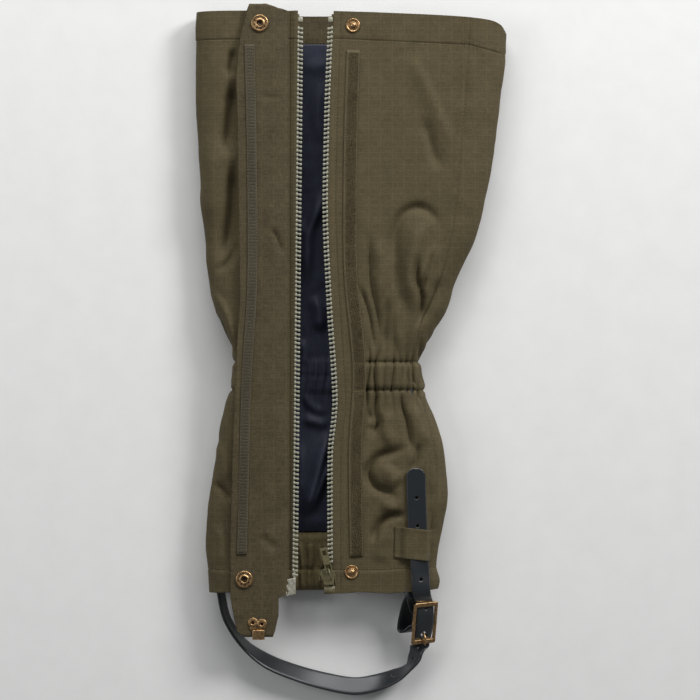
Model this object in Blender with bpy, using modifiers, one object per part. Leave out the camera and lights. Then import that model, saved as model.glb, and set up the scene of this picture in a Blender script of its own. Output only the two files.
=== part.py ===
"""One knee-high hiking gaiter lying on its back with its front zip open.

+Y is the top edge, +X the wearer-facing right side, +Z out of the front. The origin is under the
middle of the gaiter, on the surface that it lies on. Shape values are in millimetres and are turned
into metres where the meshes are made. Fabric pieces are open grids with a Solidify modifier.
"""

import math

import bmesh
import bpy
import numpy as np
from mathutils import Matrix, Vector

MM = 0.001

# Driving sizes
THICK = 28.0  # outside height of the sleeve as it lies
SHELL = 1.0  # outer fabric
LINING = 0.7
GAP = 0.4  # air left between layers
TOP, HEM = 264.0, -188.0  # top edge and bottom edge
LEFT_FOLD, RIGHT_FOLD = -94.6, 26.0  # lines that the front panels fold along
FLAP_FOLD = -49.3  # line that the storm flap folds along
FLAP_ROOT_Z = 28.4  # height of the flap where it leaves the lapel
LEFT_ROUND, RIGHT_ROUND = 14.0, 24.0  # how far the rounded sides reach in
TOOTH_PITCH = 3.4
CHAIN_TOP, CHAIN_FOOT = 255.0, -166.0
RIGHT_CHAIN = -16.2
STRAP_WIDTH, STRAP_THICK = 15.2, 2.2
SNAP_RADIUS = 5.5
SOCKET_RADIUS = 6.3

MID = THICK / 2
FRONT_Z = THICK - SHELL / 2  # middle of the front shell
FRONT_LINING_Z = THICK - SHELL - GAP - LINING / 2
BACK_LINING_Z = SHELL + GAP + LINING / 2
ROWS = 25

# Outline of the sleeve: height along Y, left edge, right edge
OUTLINE = (
    (-188, -107.5, 68.6),
    (-150, -113, 68.5),
    (-116, -110.5, 75),
    (-79, -104.5, 72.5),
    (-41, -97.5, 62),
    (-13, -91.3, 54),
    (15, -100.5, 65),
    (71, -113.5, 89),
    (146, -118.5, 109.5),
    (221, -121.4, 118.8),
    (264, -120, 121.4),
)
# Seam between the right front and the right side
SEAM = (
    (-188, 61), (-139, 63), (-107, 66.5), (-68, 63.4), (-30, 53), (-13, 47), (13, 52),
    (48, 67.3), (88, 78.2), (154, 85.2), (214, 90.3), (264, 93),
)
# Storm flap: height, left edge, right edge, with the tab below the hem
FLAP = (
    (-222, -83, -60.5), (-217.5, -88.3, -58.8), (-205, -91, -56.2), (-192, -93.4, -56.2),
    (-188.5, -93.6, -50), (-140, -93.5, -50), (-116, -92.6, -50), (-77, -91.8, -50),
    (-7, -89.1, -50), (40, -86, -50), (180, -87.9, -50), (211, -89.1, -50),
    (241, -86.4, -50), (264, -81, -50), (269.6, -78.8, -66),
)


def clear_scene():
    for obj in list(bpy.data.objects):
        bpy.data.objects.remove(obj, do_unlink=True)


def collection(name):
    made = bpy.data.collections.new(name)
    bpy.context.scene.collection.children.link(made)
    return made


clear_scene()
GAITER = collection("gaiter")
CUTTERS = collection("cutters")


def material(name, colour, roughness, metallic=0.0):
    made = bpy.data.materials.new(name)
    made.use_nodes = True
    shader = made.node_tree.nodes["Principled BSDF"]
    shader.inputs["Base Color"].default_value = (*colour, 1)
    shader.inputs["Roughness"].default_value = roughness
    shader.inputs["Metallic"].default_value = metallic
    made.diffuse_color = (*colour, 1)
    return made


OLIVE = material("olive ripstop", (0.09, 0.075, 0.037), 0.75)
FLAP_OLIVE = material("olive flap cloth", (0.078, 0.063, 0.036), 0.8)
NAVY = material("navy lining", (0.013, 0.014, 0.019), 0.6)
ELASTIC = material("olive elastic", (0.06, 0.05, 0.03), 0.85)
HOOKS = material("hook tape", (0.067, 0.057, 0.037), 0.7)
LOOPS = material("loop tape", (0.063, 0.05, 0.028), 0.95)
TAPE = material("zip tape", (0.09, 0.075, 0.037), 0.8)
TEETH = material("moulded teeth", (0.3, 0.3, 0.22), 0.4)
PAINT = material("olive painted metal", (0.12, 0.1, 0.055), 0.4, 0.5)
BRONZE = material("antique bronze", (0.45, 0.26, 0.12), 0.35, 1.0)
STRAP = material("black strap", (0.022, 0.026, 0.028), 0.5)


def smooth(y, table, column=1):
    """Value at height y of a smooth curve through the table's points."""
    ys = [row[0] for row in table]
    vs = [row[column] for row in table]
    y = min(max(y, ys[0]), ys[-1])
    k = min(max(int(np.searchsorted(ys, y)) - 1, 0), len(ys) - 2)

    def slope(i):
        a, b = max(i - 1, 0), min(i + 1, len(ys) - 1)
        return (vs[b] - vs[a]) / (ys[b] - ys[a])

    h = ys[k + 1] - ys[k]
    t = (y - ys[k]) / h
    return (
        vs[k] * (2 * t**3 - 3 * t**2 + 1)
        + slope(k) * h * (t**3 - 2 * t**2 + t)
        + vs[k + 1] * (3 * t**2 - 2 * t**3)
        + slope(k + 1) * h * (t**3 - t**2)
    )


def linear(y, table, column=1):
    return float(np.interp(y, [row[0] for row in table], [row[column] for row in table]))


def left_edge(y):
    return smooth(y, OUTLINE, 1)


def right_edge(y):
    return smooth(y, OUTLINE, 2)


def lapel_edge(y):
    """Left edge of the left lapel: beside its fold, or at the outline where the waist is narrower."""
    return max(LEFT_FOLD + 0.4, left_edge(y))


def top_edge(x):
    """The top edge drops towards the outer corner on the right."""
    return TOP - 17 * max(0.0, (x - 60) / 62) ** 3 - 1.5 * max(0.0, min(1.0, x / 60))


def link(obj, mat, parent=None):
    GAITER.objects.link(obj)
    obj.data.materials.append(mat)
    obj.parent = parent
    return obj


def sheet(name, rows, thickness, mat, parent=None, inward=False):
    """A fabric layer: a grid through rows of points in millimetres, thickened evenly about them."""
    points = [Vector(p) * MM for row in rows for p in row]
    wide = len(rows[0])
    faces = [
        (j * wide + i, j * wide + i + 1, (j + 1) * wide + i + 1, (j + 1) * wide + i)
        for j in range(len(rows) - 1)
        for i in range(wide - 1)
    ]
    if inward:
        faces = [tuple(reversed(face)) for face in faces]
    mesh = bpy.data.meshes.new(name)
    mesh.from_pydata(points, [], faces)
    obj = link(bpy.data.objects.new(name, mesh), mat, parent)
    solid = obj.modifiers.new("thickness", "SOLIDIFY")
    solid.thickness = thickness * MM
    solid.offset = 0
    return obj


def flat_sheet(name, z, thickness, left, right, low, high, mat, columns=2, rows=ROWS):
    """A layer at height z, between two edges that are functions of y; the ends may depend on x."""
    grid = []
    for j in range(rows):
        t = j / (rows - 1)
        row = []
        for i in range(columns):
            s = i / (columns - 1)
            y = low + (high - low) * t
            x = left(y) + (right(y) - left(y)) * s
            y = low + (min(high, top_edge(x)) - low) * t
            x = left(y) + (right(y) - left(y)) * s
            row.append((x, y, z(x, y) if callable(z) else z))
        grid.append(row)
    return sheet(name, grid, thickness, mat)


def resample(points, count):
    """Evenly spaced points along a polyline."""
    points = np.array(points)
    steps = np.r_[0, np.cumsum(np.linalg.norm(np.diff(points, axis=0), axis=1))]
    at = np.linspace(0, steps[-1], count)
    return np.stack([np.interp(at, steps, points[:, k]) for k in range(points.shape[1])], axis=1)


def right_height(x, y, inset=0.0):
    """Height of the right front's mid layer at x, inset inwards for the lining."""
    start = right_edge(y) - RIGHT_ROUND
    reach = RIGHT_ROUND - inset
    rise = MID - SHELL / 2 - inset
    if x <= start:
        return MID + rise
    return MID + rise * math.sqrt(max(0.0, 1 - ((x - start) / reach) ** 2))


def right_side_section(y):
    """Section of the right side panel, from the seam over the side to the back."""
    start = right_edge(y) - RIGHT_ROUND
    seam = smooth(y, SEAM) + 0.3
    rise = MID - SHELL / 2
    points = []
    if seam < start:
        points.append((seam, MID + rise))
        first = math.pi / 2
    else:
        first = math.acos(min(1, (seam - start) / RIGHT_ROUND))
    for k in range(33):
        a = first + (-math.pi / 2 - first) * k / 32
        points.append((start + RIGHT_ROUND * math.cos(a), MID + rise * math.sin(a)))
    return points


def left_side_section(y):
    """Section of the left side panel, from beside the lapel's fold over the side to the back."""
    outer = left_edge(y) + SHELL / 2
    fold = LEFT_FOLD - 0.6
    reach = max(0.0, min(fold - outer, RIGHT_ROUND))
    tucked = min(1.0, max(0.0, (outer - fold + 3) / 3))
    rise = MID - SHELL / 2 - 1.6 * tucked
    points = [(fold, MID + rise)] if fold - outer > reach + 0.01 else []
    for k in range(25):
        a = math.pi / 2 * (1 - k / 24)
        points.append((outer + reach * (1 - math.cos(a)), MID + rise * math.sin(a)))
    for k in range(1, 17):
        a = math.pi / 2 * k / 16
        points.append((outer + LEFT_ROUND * (1 - math.cos(a)), MID - (MID - SHELL / 2) * math.sin(a)))
    return points


def section_sheet(name, section, columns, mat, inward=False):
    rows = []
    for j in range(ROWS):
        y = HEM + (TOP - HEM) * j / (ROWS - 1)
        row = []
        for x, z in resample(section(y), columns):
            drop = top_edge(x) - TOP
            row.append((x, y + drop * j / (ROWS - 1), z))
        rows.append(row)
    return sheet(name, rows, SHELL, mat, inward=inward)


def back_left(y):
    return left_edge(y) + LEFT_ROUND + 1.2


def back_right(y):
    return right_edge(y) - RIGHT_ROUND - 0.4


def constant(value):
    return lambda y: value


# ---------------------------------------------------------------- sleeve, fixed body
def build_sleeve():
    flat_sheet("back_panel", SHELL / 2, SHELL, back_left, back_right, HEM, TOP - 1.5, OLIVE)
    section_sheet("left_side_panel", left_side_section, 11, OLIVE)
    section_sheet("right_side_panel", right_side_section, 11, OLIVE, inward=True)

    def outer_right(y):
        return smooth(y, SEAM) - 0.3

    flat_sheet(
        "right_outer_panel", right_height, SHELL, constant(RIGHT_FOLD + 0.4), outer_right, HEM, TOP, OLIVE, 6
    )
    flat_sheet(
        "right_outer_lining",
        lambda x, y: right_height(x, y, SHELL / 2 + GAP + LINING / 2),
        LINING,
        constant(RIGHT_FOLD + 0.4),
        lambda y: smooth(y, SEAM) - 5,
        HEM + 10,
        TOP - 24,
        NAVY,
        6,
    )


def build_inside():
    """Lining, facings and elastics on the inside of the back."""
    facing_low, facing_high = -141.0, 240.0

    def left(y):
        return back_left(y) + 2

    def right(y):
        return back_right(y) - 2

    z = BACK_LINING_Z
    flat_sheet("back_lining", z, LINING, left, right, facing_low, facing_high, NAVY)
    flat_sheet("back_top_facing", z, LINING, left, right, facing_high + 0.5, TOP - 2, OLIVE, rows=4)
    flat_sheet("back_hem_facing", z, LINING, left, right, HEM + 1, facing_low - 0.5, OLIVE, rows=5)
    above = BACK_LINING_Z + LINING / 2 + GAP + 0.5
    flat_sheet("ankle_elastic_back", above, 1.0, left, right, -31, -8, ELASTIC, rows=4)
    flat_sheet("hem_elastic", above, 1.0, left, right, HEM + 4, HEM + 16, ELASTIC, rows=3)
    below = FRONT_LINING_Z - LINING / 2 - GAP - 0.5
    flat_sheet(
        "ankle_elastic_outer", below, 1.0, constant(RIGHT_FOLD + 0.4), constant(36), -31, -8, ELASTIC, rows=3
    )


# ---------------------------------------------------------------- helpers for hardware
def from_bmesh(name, mesh_data, mat, parent=None):
    mesh = bpy.data.meshes.new(name)
    mesh_data.to_mesh(mesh)
    mesh_data.free()
    return link(bpy.data.objects.new(name, mesh), mat, parent)


def box(name, low, high, mat, parent=None):
    """A box between two corners in millimetres."""
    data = bmesh.new()
    bmesh.ops.create_cube(data, size=1)
    low, high = Vector(low) * MM, Vector(high) * MM
    size = high - low
    middle = (low + high) / 2
    bmesh.ops.transform(data, matrix=Matrix.Translation(middle) @ Matrix.Diagonal((*size, 1)), verts=data.verts)
    return from_bmesh(name, data, mat, parent)


def add_plate(data, outline, low, high):
    """A flat outline extruded between two heights."""
    face = data.faces.new([data.verts.new(Vector((x, y, low)) * MM) for x, y in outline])
    grown = bmesh.ops.extrude_face_region(data, geom=[face])
    lifted = [v for v in grown["geom"] if isinstance(v, bmesh.types.BMVert)]
    bmesh.ops.translate(data, vec=(0, 0, (high - low) * MM), verts=lifted)


def turned(name, profile, mat, parent=None, place=(0, 0, 0), steps=24):
    """A turned piece: (radius, height) points in millimetres, from the top down its outer side."""
    mesh = bpy.data.meshes.new(name)
    points = [(radius * MM, 0, height * MM) for radius, height in profile]
    mesh.from_pydata(points, [(i, i + 1) for i in range(len(points) - 1)], [])
    obj = link(bpy.data.objects.new(name, mesh), mat, parent)
    obj.location = Vector(place) * MM
    screw = obj.modifiers.new("turn", "SCREW")
    screw.steps = steps
    screw.render_steps = steps
    screw.use_merge_vertices = True
    screw.merge_threshold = 0.00002
    return obj


def drill(radius, place, name, height=8.0):
    """A round cutter for a hole in a fabric layer."""
    data = bmesh.new()
    bmesh.ops.create_cone(
        data, cap_ends=True, segments=16, radius1=radius * MM, radius2=radius * MM, depth=height * MM
    )
    mesh = bpy.data.meshes.new(name)
    data.to_mesh(mesh)
    data.free()
    cutter = bpy.data.objects.new(name, mesh)
    CUTTERS.objects.link(cutter)
    cutter.location = Vector(place) * MM
    cutter.hide_render = True
    cutter.display_type = "WIRE"
    return cutter


def cut(obj, cutter):
    boolean = obj.modifiers.new("hole", "BOOLEAN")
    boolean.operation = "DIFFERENCE"
    boolean.object = cutter


def strap_frames(stations, count, width=0.0, thickness=0.0):
    """Evenly spaced middles and width directions along stations of (x, y, z, heading, tilt).

    Heading and tilt give the direction of the strap's width, in degrees. With a width, the strap is
    lifted where its lower edge would go below the floor.
    """
    stations = np.array(stations, float)
    steps = np.r_[0, np.cumsum(np.linalg.norm(np.diff(stations[:, :3], axis=0), axis=1))]
    table = [(s, *row) for s, row in zip(steps, stations)]
    frames = []
    for s in np.linspace(0, steps[-1], count):
        x, y, z, heading, tilt = (smooth(s, table, k) for k in range(1, 6))
        heading, tilt = math.radians(heading), math.radians(tilt)
        if width:
            z = max(z, width / 2 * abs(math.sin(tilt)) + thickness / 2 * math.cos(tilt) + 0.2)
        flat = math.cos(tilt)
        across = Vector((math.cos(heading) * flat, math.sin(heading) * flat, math.sin(tilt)))
        frames.append((Vector((x, y, z)), across))
    return frames


def ribbon(name, frames, width, thickness, mat):
    """A flat strap through the frames."""
    rows = [[middle + across * (width * k / 2) for k in (-1, 0, 1)] for middle, across in frames]
    return sheet(name, rows, thickness, mat)


def punch(strap, frames, middle_at, radius, name):
    """A round hole across a strap, beside the given point on its middle line."""
    k = min(range(1, len(frames) - 1), key=lambda i: (frames[i][0] - Vector(middle_at)).length)
    along = (frames[k + 1][0] - frames[k - 1][0]).normalized()
    normal = along.cross(frames[k][1]).normalized()
    middle = frames[k][0] + along * (Vector(middle_at) - frames[k][0]).dot(along)
    cutter = drill(radius, middle, name)
    cutter.rotation_euler = normal.to_track_quat("Z", "Y").to_euler()
    cut(strap, cutter)


# ---------------------------------------------------------------- zip
def chain(name, side, centre, mat):
    """Half of a moulded zip: a strip along the tape's edge with teeth on the side given (+1 or -1)."""
    count = int((CHAIN_TOP - CHAIN_FOOT) / TOOTH_PITCH)
    outline = []
    for k in range(count):
        y = CHAIN_FOOT + k * TOOTH_PITCH
        outline += [(0.6, y), (0.6, y + 1.2), (2.3, y + 1.3), (2.3, y + 2.9)]
    outline += [(0.6, CHAIN_FOOT + count * TOOTH_PITCH), (-2.0, CHAIN_FOOT + count * TOOTH_PITCH)]
    outline += [(-2.0, CHAIN_FOOT)]
    data = bmesh.new()
    add_plate(data, [(centre(y) + side * x, y) for x, y in outline], 25.9, 28.3)
    bmesh.ops.recalc_face_normals(data, faces=data.faces)
    return from_bmesh(name, data, mat)


def left_chain(y):
    return -41.2 + 0.0095 * (y - 47)


def build_left_front():
    """The left lapel, lying shut over the left of the sleeve."""

    inner = -47.4
    flat_sheet("left_front_panel", FRONT_Z, SHELL, lapel_edge, constant(inner), HEM, TOP, OLIVE, 3)

    def lining_left(y):
        return lapel_edge(y) + 4

    flat_sheet(
        "left_front_lining", FRONT_LINING_Z, LINING, lining_left, constant(inner - 0.6), HEM + 6, TOP - 24, NAVY
    )
    flat_sheet(
        "left_zip_tape", 27.1, 0.8, constant(inner + 0.4), lambda y: left_chain(y) - 2.4, HEM + 4, TOP - 3, TAPE
    )
    chain("left_zip_teeth", 1, left_chain, TEETH)
    x = left_chain(CHAIN_TOP)
    box("left_zip_top_stop", (x - 2.0, CHAIN_TOP + 0.8, 25.9), (x + 1.6, CHAIN_TOP + 4.6, 28.3), TEETH)
    x = left_chain(CHAIN_FOOT)
    box("left_zip_pin", (x - 1.6, HEM + 3, 26.0), (x + 0.8, CHAIN_FOOT - 0.6, 28.2), TEETH)
    below = FRONT_LINING_Z - LINING / 2 - GAP - 0.5
    flat_sheet("ankle_elastic_left", below, 1.0, constant(-86), constant(-48), -31, -8, ELASTIC, rows=3)


def build_right_front():
    """The right lapel with the driven half of the zip, the loop tape and the studs."""
    edge = RIGHT_CHAIN + 7.2
    right = constant(RIGHT_FOLD - 0.4)
    panel = flat_sheet("right_front_panel", FRONT_Z, SHELL, constant(edge), right, HEM, TOP, OLIVE, 3)
    lining = flat_sheet(
        "right_front_lining", FRONT_LINING_Z, LINING, constant(edge + 1.5), right, HEM + 6, TOP - 3, NAVY, 3
    )
    flat_sheet(
        "right_zip_tape", 27.1, 0.8, constant(RIGHT_CHAIN + 2.4), constant(edge - 0.4), HEM + 5.6, TOP - 3, TAPE
    )
    chain("right_zip_teeth", -1, constant(RIGHT_CHAIN), TEETH)
    low, high = RIGHT_CHAIN - 1.6, RIGHT_CHAIN + 2.0
    box("right_zip_top_stop", (low, CHAIN_TOP + 0.8, 25.9), (high, CHAIN_TOP + 4.6, 28.3), TEETH)
    box("zip_retainer_box", (-20.6, HEM - 0.8, 25.0), (-12.4, HEM + 5.2, 29.2), TEETH)
    path = (
        (3.9, -160, 29.0, 0, 0), (3.1, -77, 29.0, 0, 0), (6.0, -15, 29.0, 0, 0), (-0.6, 60, 29.0, 0, 0),
        (-1.2, 120, 29.0, 0, 0), (-0.3, 180, 29.0, 0, 0), (1.4, 234, 29.0, 0, 0),
    )
    ribbon("loop_tape", strap_frames(path, 28), 9.0, 1.3, LOOPS)
    below = FRONT_LINING_Z - LINING / 2 - GAP - 0.5
    flat_sheet("ankle_elastic_right", below, 1.0, constant(-4), right, -31, -8, ELASTIC, rows=3)
    for label, place in (("top", (1.8, 253.2, 0)), ("bottom", (0.7, -171.8, 0))):
        for layer in (panel, lining):
            cut(layer, drill(1.9, (place[0], place[1], THICK - 1.5), f"{label} {layer.name} hole"))
        front, back = THICK + 0.3, THICK - SHELL - GAP - LINING - 0.3
        stud = (
            (0, front + 2.6), (1.9, front + 2.6), (2.6, front + 2.0), (2.2, front + 1.1), (4.6, front + 0.9),
            (SNAP_RADIUS, front + 0.5), (SNAP_RADIUS, front), (1.5, front), (1.5, back + 0.3), (0, back + 0.3),
        )
        turned(f"{label}_snap_stud", stud, BRONZE, place=place)
        washer = ((0, back), (4.6, back), (5.0, back - 0.4), (5.0, back - 0.9), (0, back - 0.9))
        turned(f"{label}_stud_washer", washer, BRONZE, place=place)


# ---------------------------------------------------------------- storm flap
FLAP_OUTER_Z = 30.7  # middle of the flap's outer layer where it lies flat
FLAP_LAYER = 0.8
FLAP_INNER_Z = FLAP_OUTER_Z + FLAP_LAYER + 0.35


def flap_rise(x):
    """The flap climbs from its fold to where it lies flat."""
    t = min(1.0, max(0.0, (FLAP_FOLD - 0.7 - x) / 9))
    return (FLAP_OUTER_Z - FLAP_ROOT_Z - 0.5) * (3 * t * t - 2 * t**3 - 1)


def flap_sheet(name, z):
    rows = []
    low, high = FLAP[0][0], FLAP[-1][0]
    stations = sorted({row[0] for row in FLAP} | set(np.linspace(low, high, 21)))
    for y in stations:
        left, right = linear(y, FLAP, 1), linear(y, FLAP, 2)
        xs = [left + (right - left) * k / 8 for k in range(9)]
        rows.append([(x, y, z + flap_rise(x)) for x in xs])
    return sheet(name, rows, FLAP_LAYER, FLAP_OLIVE)


SNAPS = (("top", (-70.6, 254.5, 0)), ("bottom", (-82.6, -177.2, 0)))
RIVETS = (("left", (-76.4, -210.9, 0)), ("right", (-69.5, -211.8, 0)))


def build_flap():
    outer = flap_sheet("storm_flap_outer", FLAP_OUTER_Z)
    inner = flap_sheet("storm_flap_inner", FLAP_INNER_Z)
    under = FLAP_OUTER_Z - FLAP_LAYER / 2 - 0.3
    over = FLAP_INNER_Z + FLAP_LAYER / 2 + 0.3
    for label, place in SNAPS:
        for layer in (outer, inner):
            cut(layer, drill(1.9, (place[0], place[1], FLAP_OUTER_Z), f"{label} {layer.name} hole"))
        cap = ((0, over - 0.3), (1.5, over - 0.3), (1.5, under), (5.8, under), (6.1, under - 0.6),
               (5.2, under - 1.1), (0, under - 1.4))
        turned(f"{label}_snap_cap", cap, BRONZE, place=place)
        socket = (
            (2.1, over + 1.3), (2.6, over + 2.0), (3.6, over + 2.1), (5.4, over + 1.3),
            (SOCKET_RADIUS, over + 0.7), (SOCKET_RADIUS, over), (2.1, over), (2.1, over + 1.3),
        )
        turned(f"{label}_snap_socket", socket, BRONZE, place=place)
    path = (
        (-84.6, -158, over + 0.65, 0, 0), (-83.2, -110, over + 0.65, 0, 0), (-80.8, -20, over + 0.65, 0, 0),
        (-76.6, 50, over + 0.65, 0, 0), (-76.8, 150, over + 0.65, 0, 0), (-78.6, 238, over + 0.65, 0, 0),
    )
    ribbon("hook_tape", strap_frames(path, 22), 7.8, 1.3, HOOKS)
    build_lace_hook(outer, inner, under, over)


def build_lace_hook(outer, inner, under, over):
    """A bent plate riveted under the flap's tab, with a lip turned up round the tab's end."""
    plate, lip = under - 0.45, over + 0.75
    middle, bend = (plate + lip) / 2, (lip - plate) / 2
    end = -223.4
    profile = [(-206.0, plate), (-215.0, plate), (end, plate)]
    for k in range(1, 8):
        a = math.pi * k / 8
        profile.append((end - bend * math.sin(a), middle - bend * math.cos(a)))
    profile += [(end, lip), (-217.6, lip)]
    rows = []
    for y, z in profile:
        half = 6.6 if y > -213 else 4.6 + 2.0 * max(0.0, (y + 217) / 4)
        rows.append([(-72.6 - half, y, z), (-72.6, y, z), (-72.6 + half, y, z)])
    hook = sheet("lace_hook", rows, 0.9, BRONZE, inward=True)
    for label, place in RIVETS:
        for layer in (outer, inner, hook):
            cutter = drill(1.6, (place[0], place[1], FLAP_OUTER_Z), f"{label} rivet {layer.name} hole")
            cut(layer, cutter)
        low = plate - 0.45 - 0.3
        rivet = (
            (0, over + 0.9), (1.4, over + 1.1), (2.6, over + 0.9), (3.2, over + 0.4), (3.2, over),
            (1.2, over), (1.2, low), (1.9, low), (1.9, low - 0.4), (0, low - 0.4),
        )
        turned(f"lace_hook_rivet_{label}", rivet, BRONZE, place=place)


# ---------------------------------------------------------------- slider
SLIDER_FOOT, SLIDER_HEAD = -181.6, -169.6
PULL_HINGE = (-16.6, -171.4, 32.4)
PULL_LEAN = 15.0


def build_slider():
    """Slider body: two plates joined by a post at their open side, with a bail for the pull tab."""
    axis = bpy.data.objects.new("slider origin", None)
    GAITER.objects.link(axis)
    outline = ((-24.4, -172.5), (-21.5, SLIDER_HEAD), (-14.6, SLIDER_HEAD), (-12.0, -173.5),
               (-12.6, SLIDER_FOOT), (-22.4, SLIDER_FOOT))
    data = bmesh.new()
    for low, high in ((29.2, 30.6), (23.6, 25.0)):
        add_plate(data, outline, low, high)
    bmesh.ops.recalc_face_normals(data, faces=data.faces)
    body = from_bmesh("slider_body", data, PAINT, axis)
    post = box("slider post", (-23.6, -178.5, 24.4), (-20.4, -172.0, 30.2), PAINT, axis)
    bail_feet = box("slider bail foot", (-17.5, -177.5, 30.2), (-15.7, -169.9, 31.6), PAINT, axis)
    for piece in (post, bail_feet):
        hide_as_cutter(piece)
        join = body.modifiers.new("join", "BOOLEAN")
        join.operation = "UNION"
        join.object = piece
    return axis


def hide_as_cutter(obj):
    GAITER.objects.unlink(obj)
    CUTTERS.objects.link(obj)
    obj.hide_render = True
    obj.display_type = "WIRE"


def build_pull_tab(parent):
    """A flat tab with an oval hole at its free end, hinged on the slider."""
    axis = bpy.data.objects.new("pull tab hinge", None)
    GAITER.objects.link(axis)
    axis.location = Vector(PULL_HINGE) * MM
    axis.rotation_euler.z = math.radians(PULL_LEAN)
    axis.parent = parent
    tab = box("pull_tab", (-2.7, 0.2, -0.55), (2.7, 19.0, 0.55), PAINT, axis)
    bevel = tab.modifiers.new("round", "BEVEL")
    bevel.width = 0.0012
    bevel.segments = 2
    bevel.limit_method = "ANGLE"
    hole = drill(1.7, (0, 0, 0), "pull tab hole")
    hole.parent = axis
    hole.location = Vector((0, 15.6, 0)) * MM
    cut(tab, hole)
    return axis


# ---------------------------------------------------------------- instep strap and buckle
BUCKLE_PLACE = (53.8, -210.2, 12.0)
BUCKLE_TURN, BUCKLE_ROLL, BUCKLE_PITCH = -4.0, 28.0, 14.0
BAR_Z = 4.2
INSTEP_HINGE = (-102.0, -189.0, 21.0)
HOLE_RADIUS = 2.3


def rest_on_panel(x, y, width, thickness):
    """Height and tilt in degrees of a flat strip that rests across the curved right front."""
    offsets = [width / 2 * k / 3 for k in range(-3, 4)]
    surface = [right_height(x + d, y) + SHELL / 2 for d in offsets]
    slope = (surface[-1] - surface[0]) / width
    lift = max(h - d * slope for h, d in zip(surface, offsets))
    lean = math.atan(slope)
    return lift + (thickness / 2 + 0.35) / math.cos(lean), math.degrees(lean)


TAIL_ROUTE = ((55.0, -188.0), (54.0, -172), (52.4, -150), (51.8, -134), (51.0, -112), (50.6, -91))


def build_strap_tail():
    """The strap's free end on the right front, from the hem to its round tip."""
    path = []
    for x, y in TAIL_ROUTE:
        z, lean = rest_on_panel(x, y, STRAP_WIDTH, STRAP_THICK)
        path.append((x, y, z + 0.3, 0, lean))
    frames = strap_frames(path, 15)
    tail = ribbon("strap_tail", frames, STRAP_WIDTH, STRAP_THICK, STRAP)
    for k, place in enumerate(((54.4, -177.7, 28), (51.9, -135.5, 28), (51.1, -114.5, 28))):
        punch(tail, frames, place, HOLE_RADIUS, f"tail hole {k + 1}")


def build_keeper():
    """A band of shell fabric over the strap's tail, sewn down at both sides."""
    band, low, high = 1.0, -163.2, -137.6
    rows = []
    for k in range(5):
        y = low + (high - low) * k / 4
        middle = linear(-y, [(-b, a) for a, b in reversed(TAIL_ROUTE)])
        z, lean = rest_on_panel(middle, y, STRAP_WIDTH, STRAP_THICK)
        slope = math.tan(math.radians(lean))
        over = z + 0.3 + STRAP_THICK / 2 + band / 2 + 0.5
        near, far = middle - STRAP_WIDTH / 2 - 1.2, middle + STRAP_WIDTH / 2 + 1.2
        arch = [(near, over + (near - middle) * slope), (middle, over + 0.2), (far, over + (far - middle) * slope)]
        feet = [(x, right_height(x, y) + SHELL / 2 + band / 2 + 0.35) for x in (33.8, near - 4.5)]
        last = [(x, right_height(x, y) + SHELL / 2 + band / 2 + 0.6) for x in (far + 2.2, far + 3.6)]
        rows.append([(x, y, h) for x, h in feet + arch + last])
    sheet("strap_keeper", rows, band, OLIVE)


def buckle_matrix():
    turn = Matrix.Rotation(math.radians(BUCKLE_TURN), 4, "Z")
    pitch = Matrix.Rotation(math.radians(BUCKLE_PITCH), 4, "X")
    roll = Matrix.Rotation(math.radians(BUCKLE_ROLL), 4, "Y")
    return Matrix.Translation(Vector(BUCKLE_PLACE)) @ turn @ pitch @ roll


def from_buckle(y, z):
    """A strap station on the buckle's long axis, from its own y and z."""
    place = buckle_matrix()
    middle = place @ Vector((0, y, z))
    across = (place.to_3x3() @ Vector((1, 0, 0))).normalized()
    heading = math.degrees(math.atan2(across.y, across.x))
    return (*middle, heading, math.degrees(math.asin(across.z)))


def build_buckle(parent):
    """Frame of the centre-bar buckle: an arched ring whose end bars stand above its middle."""
    outer_x, outer_y, rail, end = 10.9, 16.6, 2.8, 3.4
    low, high = 3.0, 5.4

    def loop(inset_x, inset_y, z):
        x, y = outer_x - inset_x, outer_y - inset_y
        sides = [-1, -0.6, 0, 0.6, 1]
        points = [(x, y * k) for k in sides] + [(-x, -y * k) for k in sides]
        rise = [4.9 * min(1.0, abs(py) / 11) ** 2 for _, py in points]
        return [data.verts.new(Vector((px, py, z + up)) * MM) for (px, py), up in zip(points, rise)]

    data = bmesh.new()
    rings = [loop(0, 0, low), loop(0, 0, high), loop(rail, end, high), loop(rail, end, low)]
    for a, b in zip(rings, rings[1:] + rings[:1]):
        for k in range(len(a)):
            n = (k + 1) % len(a)
            data.faces.new((a[k], a[n], b[n], b[k]))
    bmesh.ops.recalc_face_normals(data, faces=data.faces)
    return from_bmesh("buckle_frame", data, BRONZE, parent)


def build_bar(parent):
    bar = turned("buckle_bar", ((0, 7.7), (1.2, 7.7), (1.2, -7.7), (0, -7.7)), BRONZE, parent, steps=16)
    bar.rotation_euler.y = math.radians(90)
    bar.location = Vector((0, 0, BAR_Z)) * MM


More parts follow.
